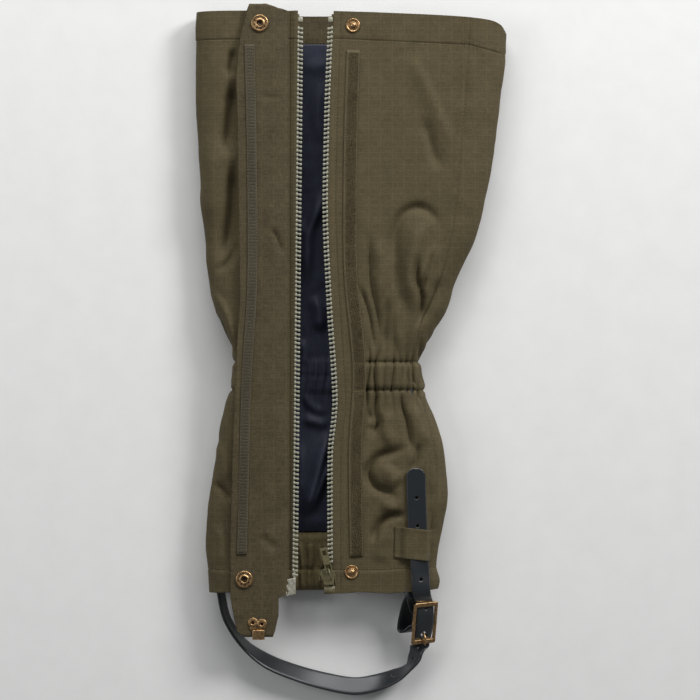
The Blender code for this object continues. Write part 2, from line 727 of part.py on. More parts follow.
def build_buckle_strap(parent):
    """The short strap: both layers run from the hem to the bar and meet in a fold round it."""
    radius, half = 2.3, 7.3
    profile = [(21.6, 4.6), (15, 2.4), (9, 1.3), (4.5, 3.6)]
    profile += [(radius * math.cos(a), BAR_Z + radius * math.sin(a)) for a in np.radians(range(60, 301, 30))]
    profile += [(4.5, 0.6), (9, -0.7), (15, 0.4), (21.6, 2.6)]
    points, faces = [], []
    for y, z in profile:
        shift = -0.36 * max(0.0, y - 4)
        points += [Vector((shift + half * k, y, z)) * MM for k in (-1, 0, 1)]
    count = len(profile)
    for j in range(count):
        n = (j + 1) % count
        faces += [(3 * j + i, 3 * j + i + 1, 3 * n + i + 1, 3 * n + i) for i in (0, 1)]
    mesh = bpy.data.meshes.new("buckle_strap")
    mesh.from_pydata(points, [], faces)
    strap = link(bpy.data.objects.new("buckle_strap", mesh), STRAP, parent)
    solid = strap.modifiers.new("thickness", "SOLIDIFY")
    solid.thickness = 1.3 * MM
    solid.offset = 0
    slot = box("tongue slot", (-2.2, -4.5, -1.0), (2.2, 3.2, 8.5), STRAP, parent)
    hide_as_cutter(slot)
    cut(strap, slot)


def build_tongue(parent):
    """The tongue curls round the bar, comes up through a hole in the strap and rests on the end bar."""
    axis = bpy.data.objects.new("tongue hinge", None)
    GAITER.objects.link(axis)
    axis.parent = parent
    axis.location = Vector((0, 0, BAR_Z)) * MM
    curl = 2.25
    profile = [(curl * math.cos(a), curl * math.sin(a)) for a in np.radians(range(140, -171, -31))]
    profile += [(-4.8, -0.2), (-7.4, 1.0), (-8.9, 2.9), (-9.7, 5.0), (-11.2, 6.7), (-13.2, 7.15), (-17.3, 6.95)]
    rows = [[(-1.3, y, z), (1.3, y, z)] for y, z in profile]
    return sheet("buckle_tongue", rows, 1.2, BRONZE, axis)


LOOP_ROUTE = (
    (51.6, -236.5, 10.5, -14, 12), (48.8, -242, 9.4, -28, 50), (44.3, -247.6, 8.4, -42, 76),
    (35.3, -254, 7.5, -62, 60), (20, -260.5, 6.0, -77, 44), (3, -263.2, 5.7, -90, 38),
    (-20, -259.2, 6.6, -103, 52), (-43.5, -252.4, 7.3, -108, 62), (-66.1, -243, 7.6, -120, 66),
    (-84.4, -229, 8.0, -138, 71), (-96.8, -210, 10.0, -160, 74), (-101.6, -189.4, 13.2, -174, 74),
)


def build_instep():
    """Everything that swings at the hem: the long strap, the buckle and its short strap."""
    axis = bpy.data.objects.new("instep hinge", None)
    GAITER.objects.link(axis)
    axis.location = Vector(INSTEP_HINGE) * MM
    origin = bpy.data.objects.new("buckle origin", None)
    GAITER.objects.link(origin)
    origin.parent = axis
    local = Matrix.Translation(-Vector(INSTEP_HINGE)) @ buckle_matrix()
    origin.location = local.to_translation() * MM
    origin.rotation_euler = local.to_euler()
    build_buckle(origin)
    build_bar(origin)
    build_buckle_strap(origin)
    build_tongue(origin)
    x, y = TAIL_ROUTE[0][0] + 0.1, TAIL_ROUTE[0][1] - 1.0
    z, lean = rest_on_panel(x, y, STRAP_WIDTH, STRAP_THICK)
    path = [(x, y, z + 0.3, 0, lean), from_buckle(14.9, 6.1), from_buckle(7, 8.0), from_buckle(0, 8.8)]
    path += [from_buckle(-7, 8.0), from_buckle(-14.9, 6.0), from_buckle(-18.5, 5.2), *LOOP_ROUTE]
    frames = strap_frames(path, 96, STRAP_WIDTH, STRAP_THICK)
    strap = ribbon("instep_strap", frames, STRAP_WIDTH, STRAP_THICK, STRAP)
    holes = [from_buckle(-9.2, 7.4)[:3], from_buckle(12, 7.2)[:3], (49.5, -241, 9.8), (33, -254.8, 7.4)]
    for k, place in enumerate(holes):
        punch(strap, frames, place, HOLE_RADIUS + (0.4 if k == 0 else 0), f"loop hole {k + 1}")


def build_anchors():
    """Strap ends sewn inside the hem: the long strap's on the left, the short strap's on the right."""
    path = (
        (-101.7, -188.6, 13.3, -174, 74), (-103.2, -178, 14, -180, 86), (-103.6, -168, 14, -180, 88)
    )
    ribbon("strap_anchor", strap_frames(path, 6), STRAP_WIDTH, STRAP_THICK, STRAP)
    box("buckle_strap_anchor", (42.6, HEM + 2.4, 21.6), (57.0, HEM + 24, 23.8), STRAP)


build_sleeve()
build_inside()
build_left_front()
build_right_front()
build_flap()
build_pull_tab(build_slider())
build_strap_tail()
build_keeper()
build_anchors()
build_instep()
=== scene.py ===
"""Looks for the gaiter: cloth, zip, snaps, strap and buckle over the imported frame.

Shapes are in millimetres and are turned into metres when their meshes are made.
"""

import math

import bpy
import numpy as np
from mathutils import Matrix, Vector


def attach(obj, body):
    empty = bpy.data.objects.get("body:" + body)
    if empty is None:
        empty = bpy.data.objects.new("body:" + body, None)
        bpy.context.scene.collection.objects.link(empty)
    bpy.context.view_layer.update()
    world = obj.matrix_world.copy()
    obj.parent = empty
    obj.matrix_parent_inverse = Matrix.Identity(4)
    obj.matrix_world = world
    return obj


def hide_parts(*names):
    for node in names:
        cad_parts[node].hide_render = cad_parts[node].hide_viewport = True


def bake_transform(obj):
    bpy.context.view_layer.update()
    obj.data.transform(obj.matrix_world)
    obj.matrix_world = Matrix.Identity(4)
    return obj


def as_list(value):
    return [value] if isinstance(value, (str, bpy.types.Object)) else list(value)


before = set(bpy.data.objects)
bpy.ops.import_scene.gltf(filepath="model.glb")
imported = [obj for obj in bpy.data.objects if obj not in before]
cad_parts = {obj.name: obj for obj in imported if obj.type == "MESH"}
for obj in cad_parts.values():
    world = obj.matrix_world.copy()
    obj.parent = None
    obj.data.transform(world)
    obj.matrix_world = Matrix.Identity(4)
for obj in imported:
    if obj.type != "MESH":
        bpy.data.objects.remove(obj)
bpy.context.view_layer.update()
MM = 0.001

# ---------------------------------------------------------------- sizes, in the CAD's frame
TOP, HEM = 264.0, -188.0
FRONT_Z, BACK_Z = 27.5, 0.5
HALF_HEIGHT = (FRONT_Z - BACK_Z) / 2
MID_Z = (FRONT_Z + BACK_Z) / 2
LEFT_ROUND, RIGHT_ROUND = 14.0, 24.0
TOOTH_PITCH = 3.4
CHAIN_TOP, CHAIN_FOOT = 255.0, -166.0
CHAIN_Z = 27.1
STRAP_WIDTH, STRAP_THICK = 15.2, 2.2

LEFT_LINE = (
    (-188, -109.5), (-172, -110.6), (-154, -112.9), (-135, -112.1), (-116, -110.6), (-97.5, -108.2),
    (-79, -104.3), (-60, -102), (-41, -97.3), (-32, -94.2), (-22.6, -91.8), (-13.3, -91.1), (-4, -92.6),
    (15, -100.4), (33.5, -106.7), (52, -110.6), (90, -114.5), (127, -116.8), (165, -119.1), (202, -120.7),
    (240, -120.7), (264, -119.7),
)
RIGHT_LINE = (
    (-188, 67.5), (-182, 68.8), (-172, 66.5), (-154, 68.1), (-135, 72), (-116, 75.1), (-97.5, 74.3),
    (-79, 72.7), (-60, 68.8), (-41, 61.8), (-32, 58.7), (-22.6, 56.4), (-13, 54.8), (-4, 54.8), (15, 64.9),
    (33.5, 75.1), (52, 81.3), (90, 96.1), (127, 105.5), (165, 112.5), (202, 116.4), (240, 121.1), (264, 121.4),
)
TOP_LINE = ((-122, 264.6), (-49, 264.8), (-12, 264.4), (69.6, 261.3), (104.7, 258.2), (116.4, 254.3), (122, 246.5))
SEAM = (
    (-188, 61), (-139, 63), (-107, 66.5), (-68, 63.4), (-30, 53), (-13, 47), (13, 52), (48, 67.3), (88, 78.2),
    (154, 85.2), (214, 90.3), (264, 93),
)
RIGHT_CHAIN = (
    (-188, -15.9), (-116, -16.2), (-77, -15.8), (-54, -13.3), (-38, -12.3), (-7, -13.8), (24, -16), (55, -17.7),
    (87, -19.3), (118, -19.9), (188, -18.5), (227, -17), (250, -16), (264, -15.7),
)
FLAP = (
    (-222, -83, -60.5), (-217.5, -88.3, -58.8), (-205, -91, -56.2), (-192, -93.4, -56.2),
    (-188.5, -93.6, -48.6), (-140, -93.5, -48.6), (-116, -92.6, -48.6), (-77, -91.8, -48.6),
    (-7, -89.1, -48.6), (40, -86, -48.6), (180, -87.9, -48.6), (211, -89.1, -48.6), (241, -86.4, -48.6),
    (264, -81, -48.6), (269.6, -78.8, -66),
)
LEFT_SHOULDER = -90.0  # where the left front starts to curve down
HEM_ROW, BAND_ROW = 18.4, 429.6  # the hem's and the top band's stitches, up from the hem
ROW_LOW, ROW_HIGH = -30.4, -8.6  # stitch rows either side of the waist elastic
WAIST = (-31.0, -8.0)  # the elastic's own edges
WAIST_MIDDLE = -19.5
BAND_LOW, HEM_BAND_HIGH = 240.0, -140.5  # inner edges of the facings inside the top and the hem
TAPE_SEAM = 7.6  # from the right chain out to the row of stitches that holds its tape
LEFT_SEAM = -45.2  # the same row on the left
SHELL, LINING, FLAP_THICK = 0.9, 0.6, 1.8  # thicknesses of cloth
RIDGE_GAIN, CREASE_GAIN = 1.5, 2.0
FOLD_FADE = 0.3  # share of a fold's length over which each end dies away


def curve(y, table):
    """Values at y of a smooth curve through the table's points."""
    ys, vs = np.array(table, float).T
    slopes = np.gradient(vs, ys)
    slopes[1:-1] = (vs[2:] - vs[:-2]) / (ys[2:] - ys[:-2])
    y = np.clip(np.asarray(y, float), ys[0], ys[-1])
    k = np.clip(np.searchsorted(ys, y) - 1, 0, len(ys) - 2)
    h = ys[k + 1] - ys[k]
    t = (y - ys[k]) / h
    return (
        vs[k] * (2 * t**3 - 3 * t**2 + 1)
        + slopes[k] * h * (t**3 - 2 * t**2 + t)
        + vs[k + 1] * (3 * t**2 - 2 * t**3)
        + slopes[k + 1] * h * (t**3 - t**2)
    )


def straight(y, table, column):
    return np.interp(y, [row[0] for row in table], [row[column] for row in table])


def distances(points):
    """How far along a line of points each of them is."""
    return np.r_[0, np.cumsum(np.linalg.norm(np.diff(np.asarray(points, float), axis=0), axis=1))]


def smooth(at, steps, columns):
    """Each column's values at places along a line whose points are at steps."""
    return [curve(at, list(zip(steps, column))) for column in columns]


def left_chain(y):
    return -41.2 + 0.0095 * (np.asarray(y, float) - 47)


def right_chain(y):
    return curve(y, RIGHT_CHAIN)


def integral(values, at):
    values = np.asarray(values, float)
    return float(np.sum((values[1:] + values[:-1]) / 2 * np.diff(at)))


def ease(t):
    t = np.clip(t, 0, 1)
    return t * t * (3 - 2 * t)


def noise(x, y, size, seed):
    """A smooth random field with features of about the given size, from -1 to 1."""
    lattice = np.random.default_rng(seed).uniform(-1, 1, (64, 64))
    u, v = np.asarray(x) / size + 500.0, np.asarray(y) / size + 500.0
    i, j = np.floor(u).astype(int), np.floor(v).astype(int)
    s, t = ease(u - i), ease(v - j)
    i, j = i % 64, j % 64
    i2, j2 = (i + 1) % 64, (j + 1) % 64
    low = lattice[i, j] * (1 - s) + lattice[i2, j] * s
    high = lattice[i, j2] * (1 - s) + lattice[i2, j2] * s
    return low * (1 - t) + high * t


def fold(x, y, path, height, left, right):
    """A ridge, or a crease where height is negative, along a path of points.

    left and right are its widths on the two sides of the path as one walks along it.
    """
    path = np.array(path, float)
    steps = distances(path)
    at = np.linspace(0, steps[-1], 4 * len(path))
    xs, ys = smooth(at, steps, path.T)
    best = np.full(np.shape(x), 1e9)
    side = np.zeros(np.shape(x))
    along = np.zeros(np.shape(x))
    for k in range(len(at) - 1):
        ex, ey = xs[k + 1] - xs[k], ys[k + 1] - ys[k]
        t = np.clip(((x - xs[k]) * ex + (y - ys[k]) * ey) / (ex * ex + ey * ey), 0, 1)
        dx, dy = x - xs[k] - t * ex, y - ys[k] - t * ey
        d = dx * dx + dy * dy
        near = d < best
        best = np.where(near, d, best)
        side = np.where(near, ex * dy - ey * dx, side)
        along = np.where(near, (k + t) / (len(at) - 1), along)
    width = np.where(side > 0, left, right)
    gain = RIDGE_GAIN if height > 0 else CREASE_GAIN
    return gain * height * ease(np.minimum(along, 1 - along) / FOLD_FADE) * np.exp(-best / width**2)


def with_folds(d, x, y, folds):
    for path, height, left, right in folds:
        d = d + fold(x, y, path, height, left, right)
    return d


# ---------------------------------------------------------------- shaping of the cloth
def pleats(u, y, centres, depth, sharp, seed):
    """Gathers between the waist's two stitch rows, which run out into the cloth above and below."""
    above, below = np.clip(y - ROW_HIGH, 0, None), np.clip(ROW_LOW - y, 0, None)
    total = np.zeros(np.shape(u))
    for k, centre in enumerate(centres):
        rng = np.random.default_rng(seed + k)
        drift, reach, low_reach = rng.uniform(-0.16, 0.16), rng.uniform(9, 26), rng.uniform(8, 24)
        lean = rng.uniform(-1.3, 1.3)
        middle = centre + drift * (above - below) + lean * np.sin(y / 7 + k)
        strength = np.exp(-above / reach) * np.exp(-below / low_reach) * rng.uniform(0.4, 1.5)
        width = sharp * (1 + (above + below) / 22)
        total -= depth * strength * np.exp(-(((u - middle) / width) ** 2))
    return total


def waist(y):
    """The puffed band between the rows, pinched along both rows."""
    inside = ease((y - ROW_LOW) / 4) * ease((ROW_HIGH - y) / 4)
    rows = np.exp(-(((y - ROW_LOW) / 1.5) ** 2)) + np.exp(-(((y - ROW_HIGH) / 1.5) ** 2))
    return 0.9 * inside - 1.5 * rows


def topstitch(x, path, depth=0.6, width=0.75):
    """A shallow valley where a row of stitches runs along x = path."""
    return -depth * np.exp(-(((x - path) / width) ** 2))


def band_line(x):
    """Height along Y of the top band's stitches."""
    return np.interp(x, (-122, -10, 91, 120), (241.4, 242.0, 237.5, 230.5))


def top_line(x):
    return curve(x, TOP_LINE)


def hem_line(x):
    return -169.5 + 1.5 * ease((np.asarray(x, float) - 20) / 40)


def bands(x, y):
    """Turned edges at the top and hem are a little thicker, and their stitches pull in."""
    total = np.zeros(np.shape(x))
    for past in (y - band_line(x), hem_line(x) - y):
        puckers = 0.16 * np.sin(x * 1.7 + 2 * np.sin(x / 7)) * np.exp(-np.abs(past) / 3)
        total = total + 0.4 * ease((past + 0.6) / 1.4) - 0.6 * np.exp(-(((past - 0.8) / 0.7) ** 2)) + puckers
    return total


RIGHT_PLEATS = (13.5, 19.2, 26, 32.5, 38.4, 44, 49, 54.5, 61, 68, 74.5, 82, 89, 97, 105)


RIGHT_FOLDS = (
    (((46, 234), (58, 208), (70, 180), (79, 158)), 1.3, 3.2, 7),
    (((55.5, 184), (60, 166), (68.5, 138)), -1.6, 5, 2.4),
    (((61, 110), (50, 84), (46, 52), (46, 28)), 4.2, 8.5, 7.5),
    (((72, 87), (63, 106), (52, 112), (40, 106), (34.5, 90), (35.3, 71), (38, 48), (43, 26)), -2.0, 4.4, 3.6),
    (((52, 78), (51, 55), (55, 40), (52, 16)), -3.4, 3, 2.2),
    (((66, 82), (60, 64), (55, 44)), -2.0, 1.9, 1.9),
    (((68, 84), (60, 66), (55.5, 50)), 2.2, 4, 3.4),
    (((70, 60), (62, 36), (55, 18)), -1.5, 4, 3),
    (((11, 97), (14, 82), (15, 55), (21, 24), (22, -6)), -2.0, 2.6, 1.8),
    (((20, 90), (24, 64), (23, 36)), 1.3, 4, 4),
    (((1, 54), (8, 46), (15, 24), (19.5, -8)), -1.9, 2.4, 1.8),
    (((30, 44), (27, 24), (25.5, 0)), -1.5, 2.6, 2.2),
    (((38, 40), (36, 20), (38, 0)), 1.3, 3, 3),
    (((48, -74), (33, -79), (21, -83), (14, -94), (19, -105), (29, -110), (40, -117)), -2.8, 2.8, 3.6),
    (((33, -88), (30, -96), (39, -104)), 2.6, 7, 7),
    (((46, -128), (31, -129), (22, -136), (16, -152)), -2.8, 2.4, 3.4),
    (((22, -118), (30, -121), (38, -124)), 1.6, 4, 4),
    (((30, -138), (24, -152), (23, -166)), 1.2, 6, 6),
    (((40, -28), (40, -44), (44, -56), (48, -82)), -2.2, 2.4, 2.2),
    (((22, -28), (19, -46), (22, -56), (15, -70)), -2.2, 2.4, 2.0),
    (((52, -70), (51, -84), (46, -96)), -1.8, 3, 2.4),
    (((30, -44), (27, -60), (33, -76)), 1.9, 4.6, 4.6),
    (((52, -40), (54, -58), (60, -76)), 1.5, 4, 5),
    (((12, -46), (20, -58), (11, -62)), -1.5, 3, 2.4),
    (((8, -70), (9, -100), (7, -128)), 0.9, 5, 4),
    (((64, -100), (60, -126), (64, -150)), -1.1, 4, 4),
)


def right_shape(u, y):
    """How far the right cloth stands off its smooth form; u is x on the front and runs on round the side."""
    d = 0.9 * noise(u, y, 46, 1) + 0.5 * noise(u, y, 17, 2) + 0.16 * noise(u, y, 7, 3)
    d = with_folds(d, u, y, RIGHT_FOLDS)
    d = d + pleats(u, y, RIGHT_PLEATS, 3.0, 1.5, 40) + waist(y) * ease((u - 4) / 6)
    hardware = np.maximum(ease((11 - u) / 9), 0)  # the zip and loop tape keep this strip flat
    tail = ease(1 - (np.abs(u - 52.5) - 6) / 5) * ease((-88 - y) / 8)  # and the strap's tail this one
    d = d * (1 - 0.78 * hardware) * (1 - 0.72 * tail)
    seam = curve(y, SEAM)
    d = d + 0.6 * ease((u - seam + 5) / 2) * ease((seam + 1.2 - u) / 0.9) + topstitch(u, seam, 1.2, 0.9)
    d = d + topstitch(u, right_chain(y) + TAPE_SEAM)
    return d + bands(u, y)


LEFT_FOLDS = (
    (((-90, 236), (-93, 222), (-92, 212)), -2.2, 3, 4),
    (((-88, 214), (-93, 184), (-98, 150)), -4.0, 7, 6.5),
    (((-90, 152), (-93, 108), (-101, 66)), -4.6, 8, 6.5),
    (((-86, 88), (-94, 72), (-106, 60)), -1.8, 3, 3),
    (((-112, 170), (-108, 130), (-113, 96)), 1.6, 8, 8),
    (((-110, 50), (-97, 30), (-89, 2)), 1.7, 2.4, 3.4),
    (((-107, 30), (-100, 12), (-96, -8)), -1.8, 3.6, 3),
    (((-107.5, -102), (-100, -108), (-92, -118)), -2.2, 2.6, 2.2),
    (((-104, -70), (-98, -88), (-99, -104)), 1.2, 4, 4),
    (((-104, -134), (-100, -152), (-103, -168)), 1.0, 4, 4),
)


def left_shape(u, y):
    """The same for the left cloth; u is x on the front and runs on below the outline."""
    d = 0.8 * noise(u, y, 46, 11) + 0.45 * noise(u, y, 17, 12) + 0.14 * noise(u, y, 7, 13)
    loose = with_folds(np.zeros(np.shape(u)), u, y, LEFT_FOLDS)
    d = d + loose + pleats(u, y, np.arange(-94.5, -150, -6.3), 1.6, 1.4, 70) + waist(y) * ease((-84 - u) / 6)
    under_flap = ease((u + 90) / 6)
    d = d * (1 - 0.85 * under_flap) - 0.5 * under_flap * np.clip(loose, -1, 0)
    return d + topstitch(u, LEFT_SEAM) + topstitch(u, -47.7, 1.9, 1.9) + bands(u, y)


FLAP_FOLDS = (
    (((-62.5, 97), (-58, 88), (-53, 74)), -1.5, 2.4, 1.3),
    (((-74, 198), (-64, 197), (-53, 195)), -0.5, 2.2, 1.4),
    (((-72, -143), (-64, -149), (-56, -156)), -0.9, 4, 3),
    (((-59, -90), (-58, -120), (-61, -148)), -0.9, 4, 4),
    (((-68, -60), (-66, -100), (-69, -130)), 0.5, 5, 5),
    (((-66, 60), (-64, 0), (-66, -50)), 0.4, 5, 5),
)


def flap_shape(x, y):
    d = 0.45 * noise(x, y, 40, 21) + 0.5 * noise(x, y * 0.25, 9, 22) - 1.3 * ease((x + 53.5) / 4)
    d = with_folds(d, x, y, FLAP_FOLDS)
    return d


# ---------------------------------------------------------------- mesh making
class Mesh:
    """Points and faces gathered for one object, with each point's place in the weave."""

    def __init__(self):
        self.points, self.faces, self.weave, self.count = [], [], [], 0

    def add(self, points, faces, weave=None):
        points = np.asarray(points, float).reshape(-1, 3)
        self.points.append(points)
        self.weave.append(points if weave is None else np.asarray(weave, float).reshape(-1, 3))
        self.faces += [tuple(int(v) + self.count for v in face) for face in faces]
        self.count += len(points)

    def make(self, name, material, smooth=True):
        mesh = bpy.data.meshes.new(name)
        mesh.from_pydata((np.concatenate(self.points) * MM).tolist(), [], self.faces)
        mesh.validate()
        weave = mesh.attributes.new("weave", "FLOAT_VECTOR", "POINT")
        weave.data.foreach_set("vector", (np.concatenate(self.weave) * MM).astype(np.float32).ravel())
        mesh.polygons.foreach_set("use_smooth", [smooth] * len(mesh.polygons))
        mesh.materials.append(material)
        obj = bpy.data.objects.new(name, mesh)
        bpy.context.scene.collection.objects.link(obj)
        return obj


def normals(grid):
    """Unit normals of a grid of points, to the right of its columns and rows."""
    along = np.gradient(grid, axis=0)
    across = np.gradient(grid, axis=1)
    n = np.cross(across, along)
    return n / np.maximum(np.linalg.norm(n, axis=2, keepdims=True), 1e-9)


def grid_faces(rows, columns, start=0, flip=False):
    corners = [start + j * columns + i for j in range(rows - 1) for i in range(columns - 1)]
    faces = [(a, a + 1, a + columns + 1, a + columns) for a in corners]
    return [face[::-1] for face in faces] if flip else faces


def ring_faces(rings, count, ends=True):
    """Faces between rings of count points, closed by end faces, or else joined round to the first ring."""
    faces = [
        (r * count + i, r * count + (i + 1) % count, m * count + (i + 1) % count, m * count + i)
        for r, m in zip(range(rings), range(1, rings) if ends else [*range(1, rings), 0])
        for i in range(count)
    ]
    if ends:
        faces += [tuple(range(count))[::-1], tuple(range((rings - 1) * count, rings * count))]
    return faces


def add_cloth(mesh, grid, thickness, weave=None):
    """A layer of cloth about a grid of points, closed round its rim."""
    rows, columns = grid.shape[:2]
    n = normals(grid)
    outer, inner = grid + n * thickness / 2, grid - n * thickness / 2
    size = rows * columns
    if weave is None:
        weave = np.zeros_like(grid)
        weave[..., 0] = distances(grid[rows // 2])[None, :]
        weave[..., 1] = distances(grid[:, columns // 2])[:, None]
    faces = grid_faces(rows, columns) + grid_faces(rows, columns, size, True)
    rim = [*range(columns), *(j * columns + columns - 1 for j in range(1, rows))]
    rim += [(rows - 1) * columns + i for i in range(columns - 2, -1, -1)]
    rim += [j * columns for j in range(rows - 2, 0, -1)]
    faces += [(b, a, a + size, b + size) for a, b in zip(rim, rim[1:] + rim[:1])]
    mesh.add(np.concatenate([outer.reshape(-1, 3), inner.reshape(-1, 3)]), faces,
             np.tile(weave.reshape(-1, 3), (2, 1)))


def add_layer(mesh, x, y, z, thickness):
    """Cloth over a region of x and y whose weave runs with them, its middle at z."""
    add_cloth(mesh, np.stack([x, y, z], axis=2), thickness, np.stack([x, y, 0 * x], axis=2))


def spread(count, edge=0.004):
    """Fractions from 0 to 1, even but with one extra step close to each end."""
    return np.r_[0, np.linspace(edge, 1 - edge, count - 2), 1]


def stations(marks, counts):
    """Places from the first mark to the last, drawn close together on both sides of every mark."""
    places = []
    for a, b, count in zip(marks, marks[1:], counts):
        near = np.array([0.4, 0.85, 1.4]) * min(1.0, (b - a) / 8)
        places += [a, *(a + near), *np.linspace(a + near[2] * 1.5, b - near[2] * 1.5, count), *(b - near[::-1])]
    return np.array([*places, marks[-1]])


def tube_cloth(name, section, counts, shape, thickness, material, low, high):
    """A cloth round part of the sleeve: a section for each height, pushed out by its shape.

    section(y) gives points (x, z, u) and the values of u where seams run, which its columns follow;
    its rows follow the hem's, the waist's and the top band's stitches. Returns the object, its widest
    cut and length, and its flat area.
    """
    length = TOP - HEM
    row_marks = (0, HEM_ROW, ROW_LOW - HEM, ROW_HIGH - HEM, BAND_ROW, length)
    ts = stations(row_marks, (6, 74, 9, 138, 7)) / length
    rows, columns = len(ts), len(stations(range(len(counts) + 1), counts))
    base = np.zeros((rows, columns, 3))
    u = np.zeros((rows, columns))
    widths = []
    for j, t in enumerate(ts):
        y = HEM + length * t
        line, knots = section(y)
        line = np.array(line)
        steps = distances(line[:, :2])
        width = steps[-1]
        at = stations([0, *np.interp(knots, line[:, 2], steps), width], counts)
        points = np.stack([np.interp(at, steps, line[:, k]) for k in range(3)], axis=1)
        base[j, :, 0], base[j, :, 2], u[j] = points[:, 0], points[:, 1], points[:, 2]
        base[j, :, 1] = low(points[:, 0]) + (high(points[:, 0]) - low(points[:, 0])) * t
        widths.append(width)
    d = shape(u, base[..., 1])
    grid = base + normals(base) * d[..., None]
    grid[..., 2] = np.maximum(grid[..., 2], thickness / 2)
    weave = np.stack([u, base[..., 1], np.zeros_like(u)], axis=2)
    mesh = Mesh()
    add_cloth(mesh, grid, thickness, weave)
    area = integral(widths, HEM + length * ts)
    return mesh.make(name, material), (max(widths) * MM, length * MM), area * MM * MM


def flat_cloth(name, left, right, low, high, height, step, thickness, material):
    """A layer over the region between two edges; height(x, y) gives its middle's z."""
    rows = max(4, int((high - low) / step))
    columns = max(4, int(np.max(right(np.array([low, high, 0.0])) - left(np.array([low, high, 0.0]))) / step))
    t = spread(rows, 0.003)[:, None] * np.ones((1, columns))
    s = spread(columns)[None, :]
    y = low + (high - low) * t
    x = left(y) + (right(y) - left(y)) * s
    y = low + (np.minimum(high, top_line(x) - 0.4) - low) * t
    mesh = Mesh()
    add_layer(mesh, x, y, height(x, y), thickness)
    widths = (right(y) - left(y))[:, 0]
    area = integral(widths, y[:, 0])
    return mesh.make(name, material), (float(np.max(widths)) * MM, (high - low) * MM), area * MM * MM


def declare(obj, flat, area, held, rests):
    """Takes a cloth, its flat size and area, how it is held and what it rests on; only turns rests into a list, and
    records nothing.
    """
    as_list(rests)


def ribbon(mesh, centres, across, width, thickness, edge=0.25, columns=7):
    """A flat strap along centres, with rounded long edges; across holds its unit width directions."""
    centres, across = np.array(centres, float), np.array(across, float)
    along = np.gradient(centres, axis=0)
    along /= np.linalg.norm(along, axis=1, keepdims=True)
    up = np.cross(across, along)
    up /= np.linalg.norm(up, axis=1, keepdims=True)
    half, t = width / 2, thickness / 2
    inner, shoulder = np.linspace(-1, 1, columns) * (half - edge), half - 0.3 * edge
    section = [(x, t) for x in inner] + [(shoulder, t * 0.7), (half, 0), (shoulder, -t * 0.7)]
    section += [(x, -t) for x in inner[::-1]] + [(-shoulder, -t * 0.7), (-half, 0), (-shoulder, t * 0.7)]
    points, weave = [], []
    for c, a, b, s in zip(centres, across, up, distances(centres)):
        points += [c + a * x + b * z for x, z in section]
        weave += [(x + (width if z < 0 else 0), s, z) for x, z in section]
    mesh.add(points, [face[::-1] for face in ring_faces(len(centres), len(section))], weave)


def lathe(mesh, profile, place, steps=48, turn=None):
    """A turned piece from (radius, height) points, outer side first; a radius of 0 closes it."""
    points, faces, rings = [], [], []
    for radius, height in profile:
        if radius < 1e-6:
            rings.append([len(points)])
            points.append((0, 0, height))
        else:
            rings.append(list(range(len(points), len(points) + steps)))
            angles = np.arange(steps) * 2 * math.pi / steps
            points += [(radius * math.cos(a), radius * math.sin(a), height) for a in angles]
    for a, b in zip(rings, rings[1:]):
        for k in range(steps):
            n = (k + 1) % steps
            quad = list(dict.fromkeys((a[k % len(a)], b[k % len(b)], b[n % len(b)], a[n % len(a)])))
            if len(quad) > 2:
                faces.append(quad)
    points = np.array(points)
    if turn is not None:
        points = points @ np.array(turn).T
    mesh.add(points + np.array(place), faces)


def sweep(mesh, path, radius, sides, flatten=1.0, up=(0, 0, 1)):
    """A round or oval bar along a path; radius may be one number or one for each point."""
    path = np.array(path, float)
    along = np.gradient(path, axis=0)
    along /= np.linalg.norm(along, axis=1, keepdims=True)
    side = np.cross(along, np.array(up, float))
    side /= np.maximum(np.linalg.norm(side, axis=1, keepdims=True), 1e-6)
    top = np.cross(side, along)
    points = [
        c + s * r * math.cos(a) + t * r * flatten * math.sin(a)
        for c, s, t, r in zip(path, side, top, np.broadcast_to(np.asarray(radius, float), len(path)))
        for a in np.arange(sides) * 2 * math.pi / sides
    ]
    mesh.add(points, ring_faces(len(path), sides))


def block(mesh, low, high, bevel, turn=None, place=(0, 0, 0)):
    """A block between two corners with its edges cut back by bevel."""
    low, high = np.array(low, float), np.array(high, float)
    points = []
    for axis in range(3):
        for corner in range(8):
            p = [high[k] if corner >> k & 1 else low[k] for k in range(3)]
            for k in range(3):
                if k != axis:
                    p[k] += -bevel if corner >> k & 1 else bevel
            points.append(p)
    faces = []
    for axis in range(3):
        others = [k for k in range(3) if k != axis]
        for end in (0, 1):
            ring = [(0, 0), (1, 0), (1, 1), (0, 1)]
            face = [axis * 8 + (end << axis) + (a << others[0]) + (b << others[1]) for a, b in ring]
            faces.append(face)
    for a in range(3):
        for b in range(a + 1, 3):
            c = 3 - a - b
            for i in (0, 1):
                for j in (0, 1):
                    ends = [(i << a) + (j << b) + (k << c) for k in (0, 1)]
                    faces.append([a * 8 + ends[0], a * 8 + ends[1], b * 8 + ends[1], b * 8 + ends[0]])
    for corner in range(8):
        faces.append([corner, 8 + corner, 16 + corner])
    points = np.array(points)
    middle = points.mean(axis=0)
    solved = []
    for face in faces:
        p = points[face]
        n = np.cross(p[1] - p[0], p[2] - p[0])
        solved.append(face if n @ (p.mean(axis=0) - middle) > 0 else face[::-1])
    if turn is not None:
        points = points @ np.array(turn).T
    mesh.add(points + np.array(place), solved)


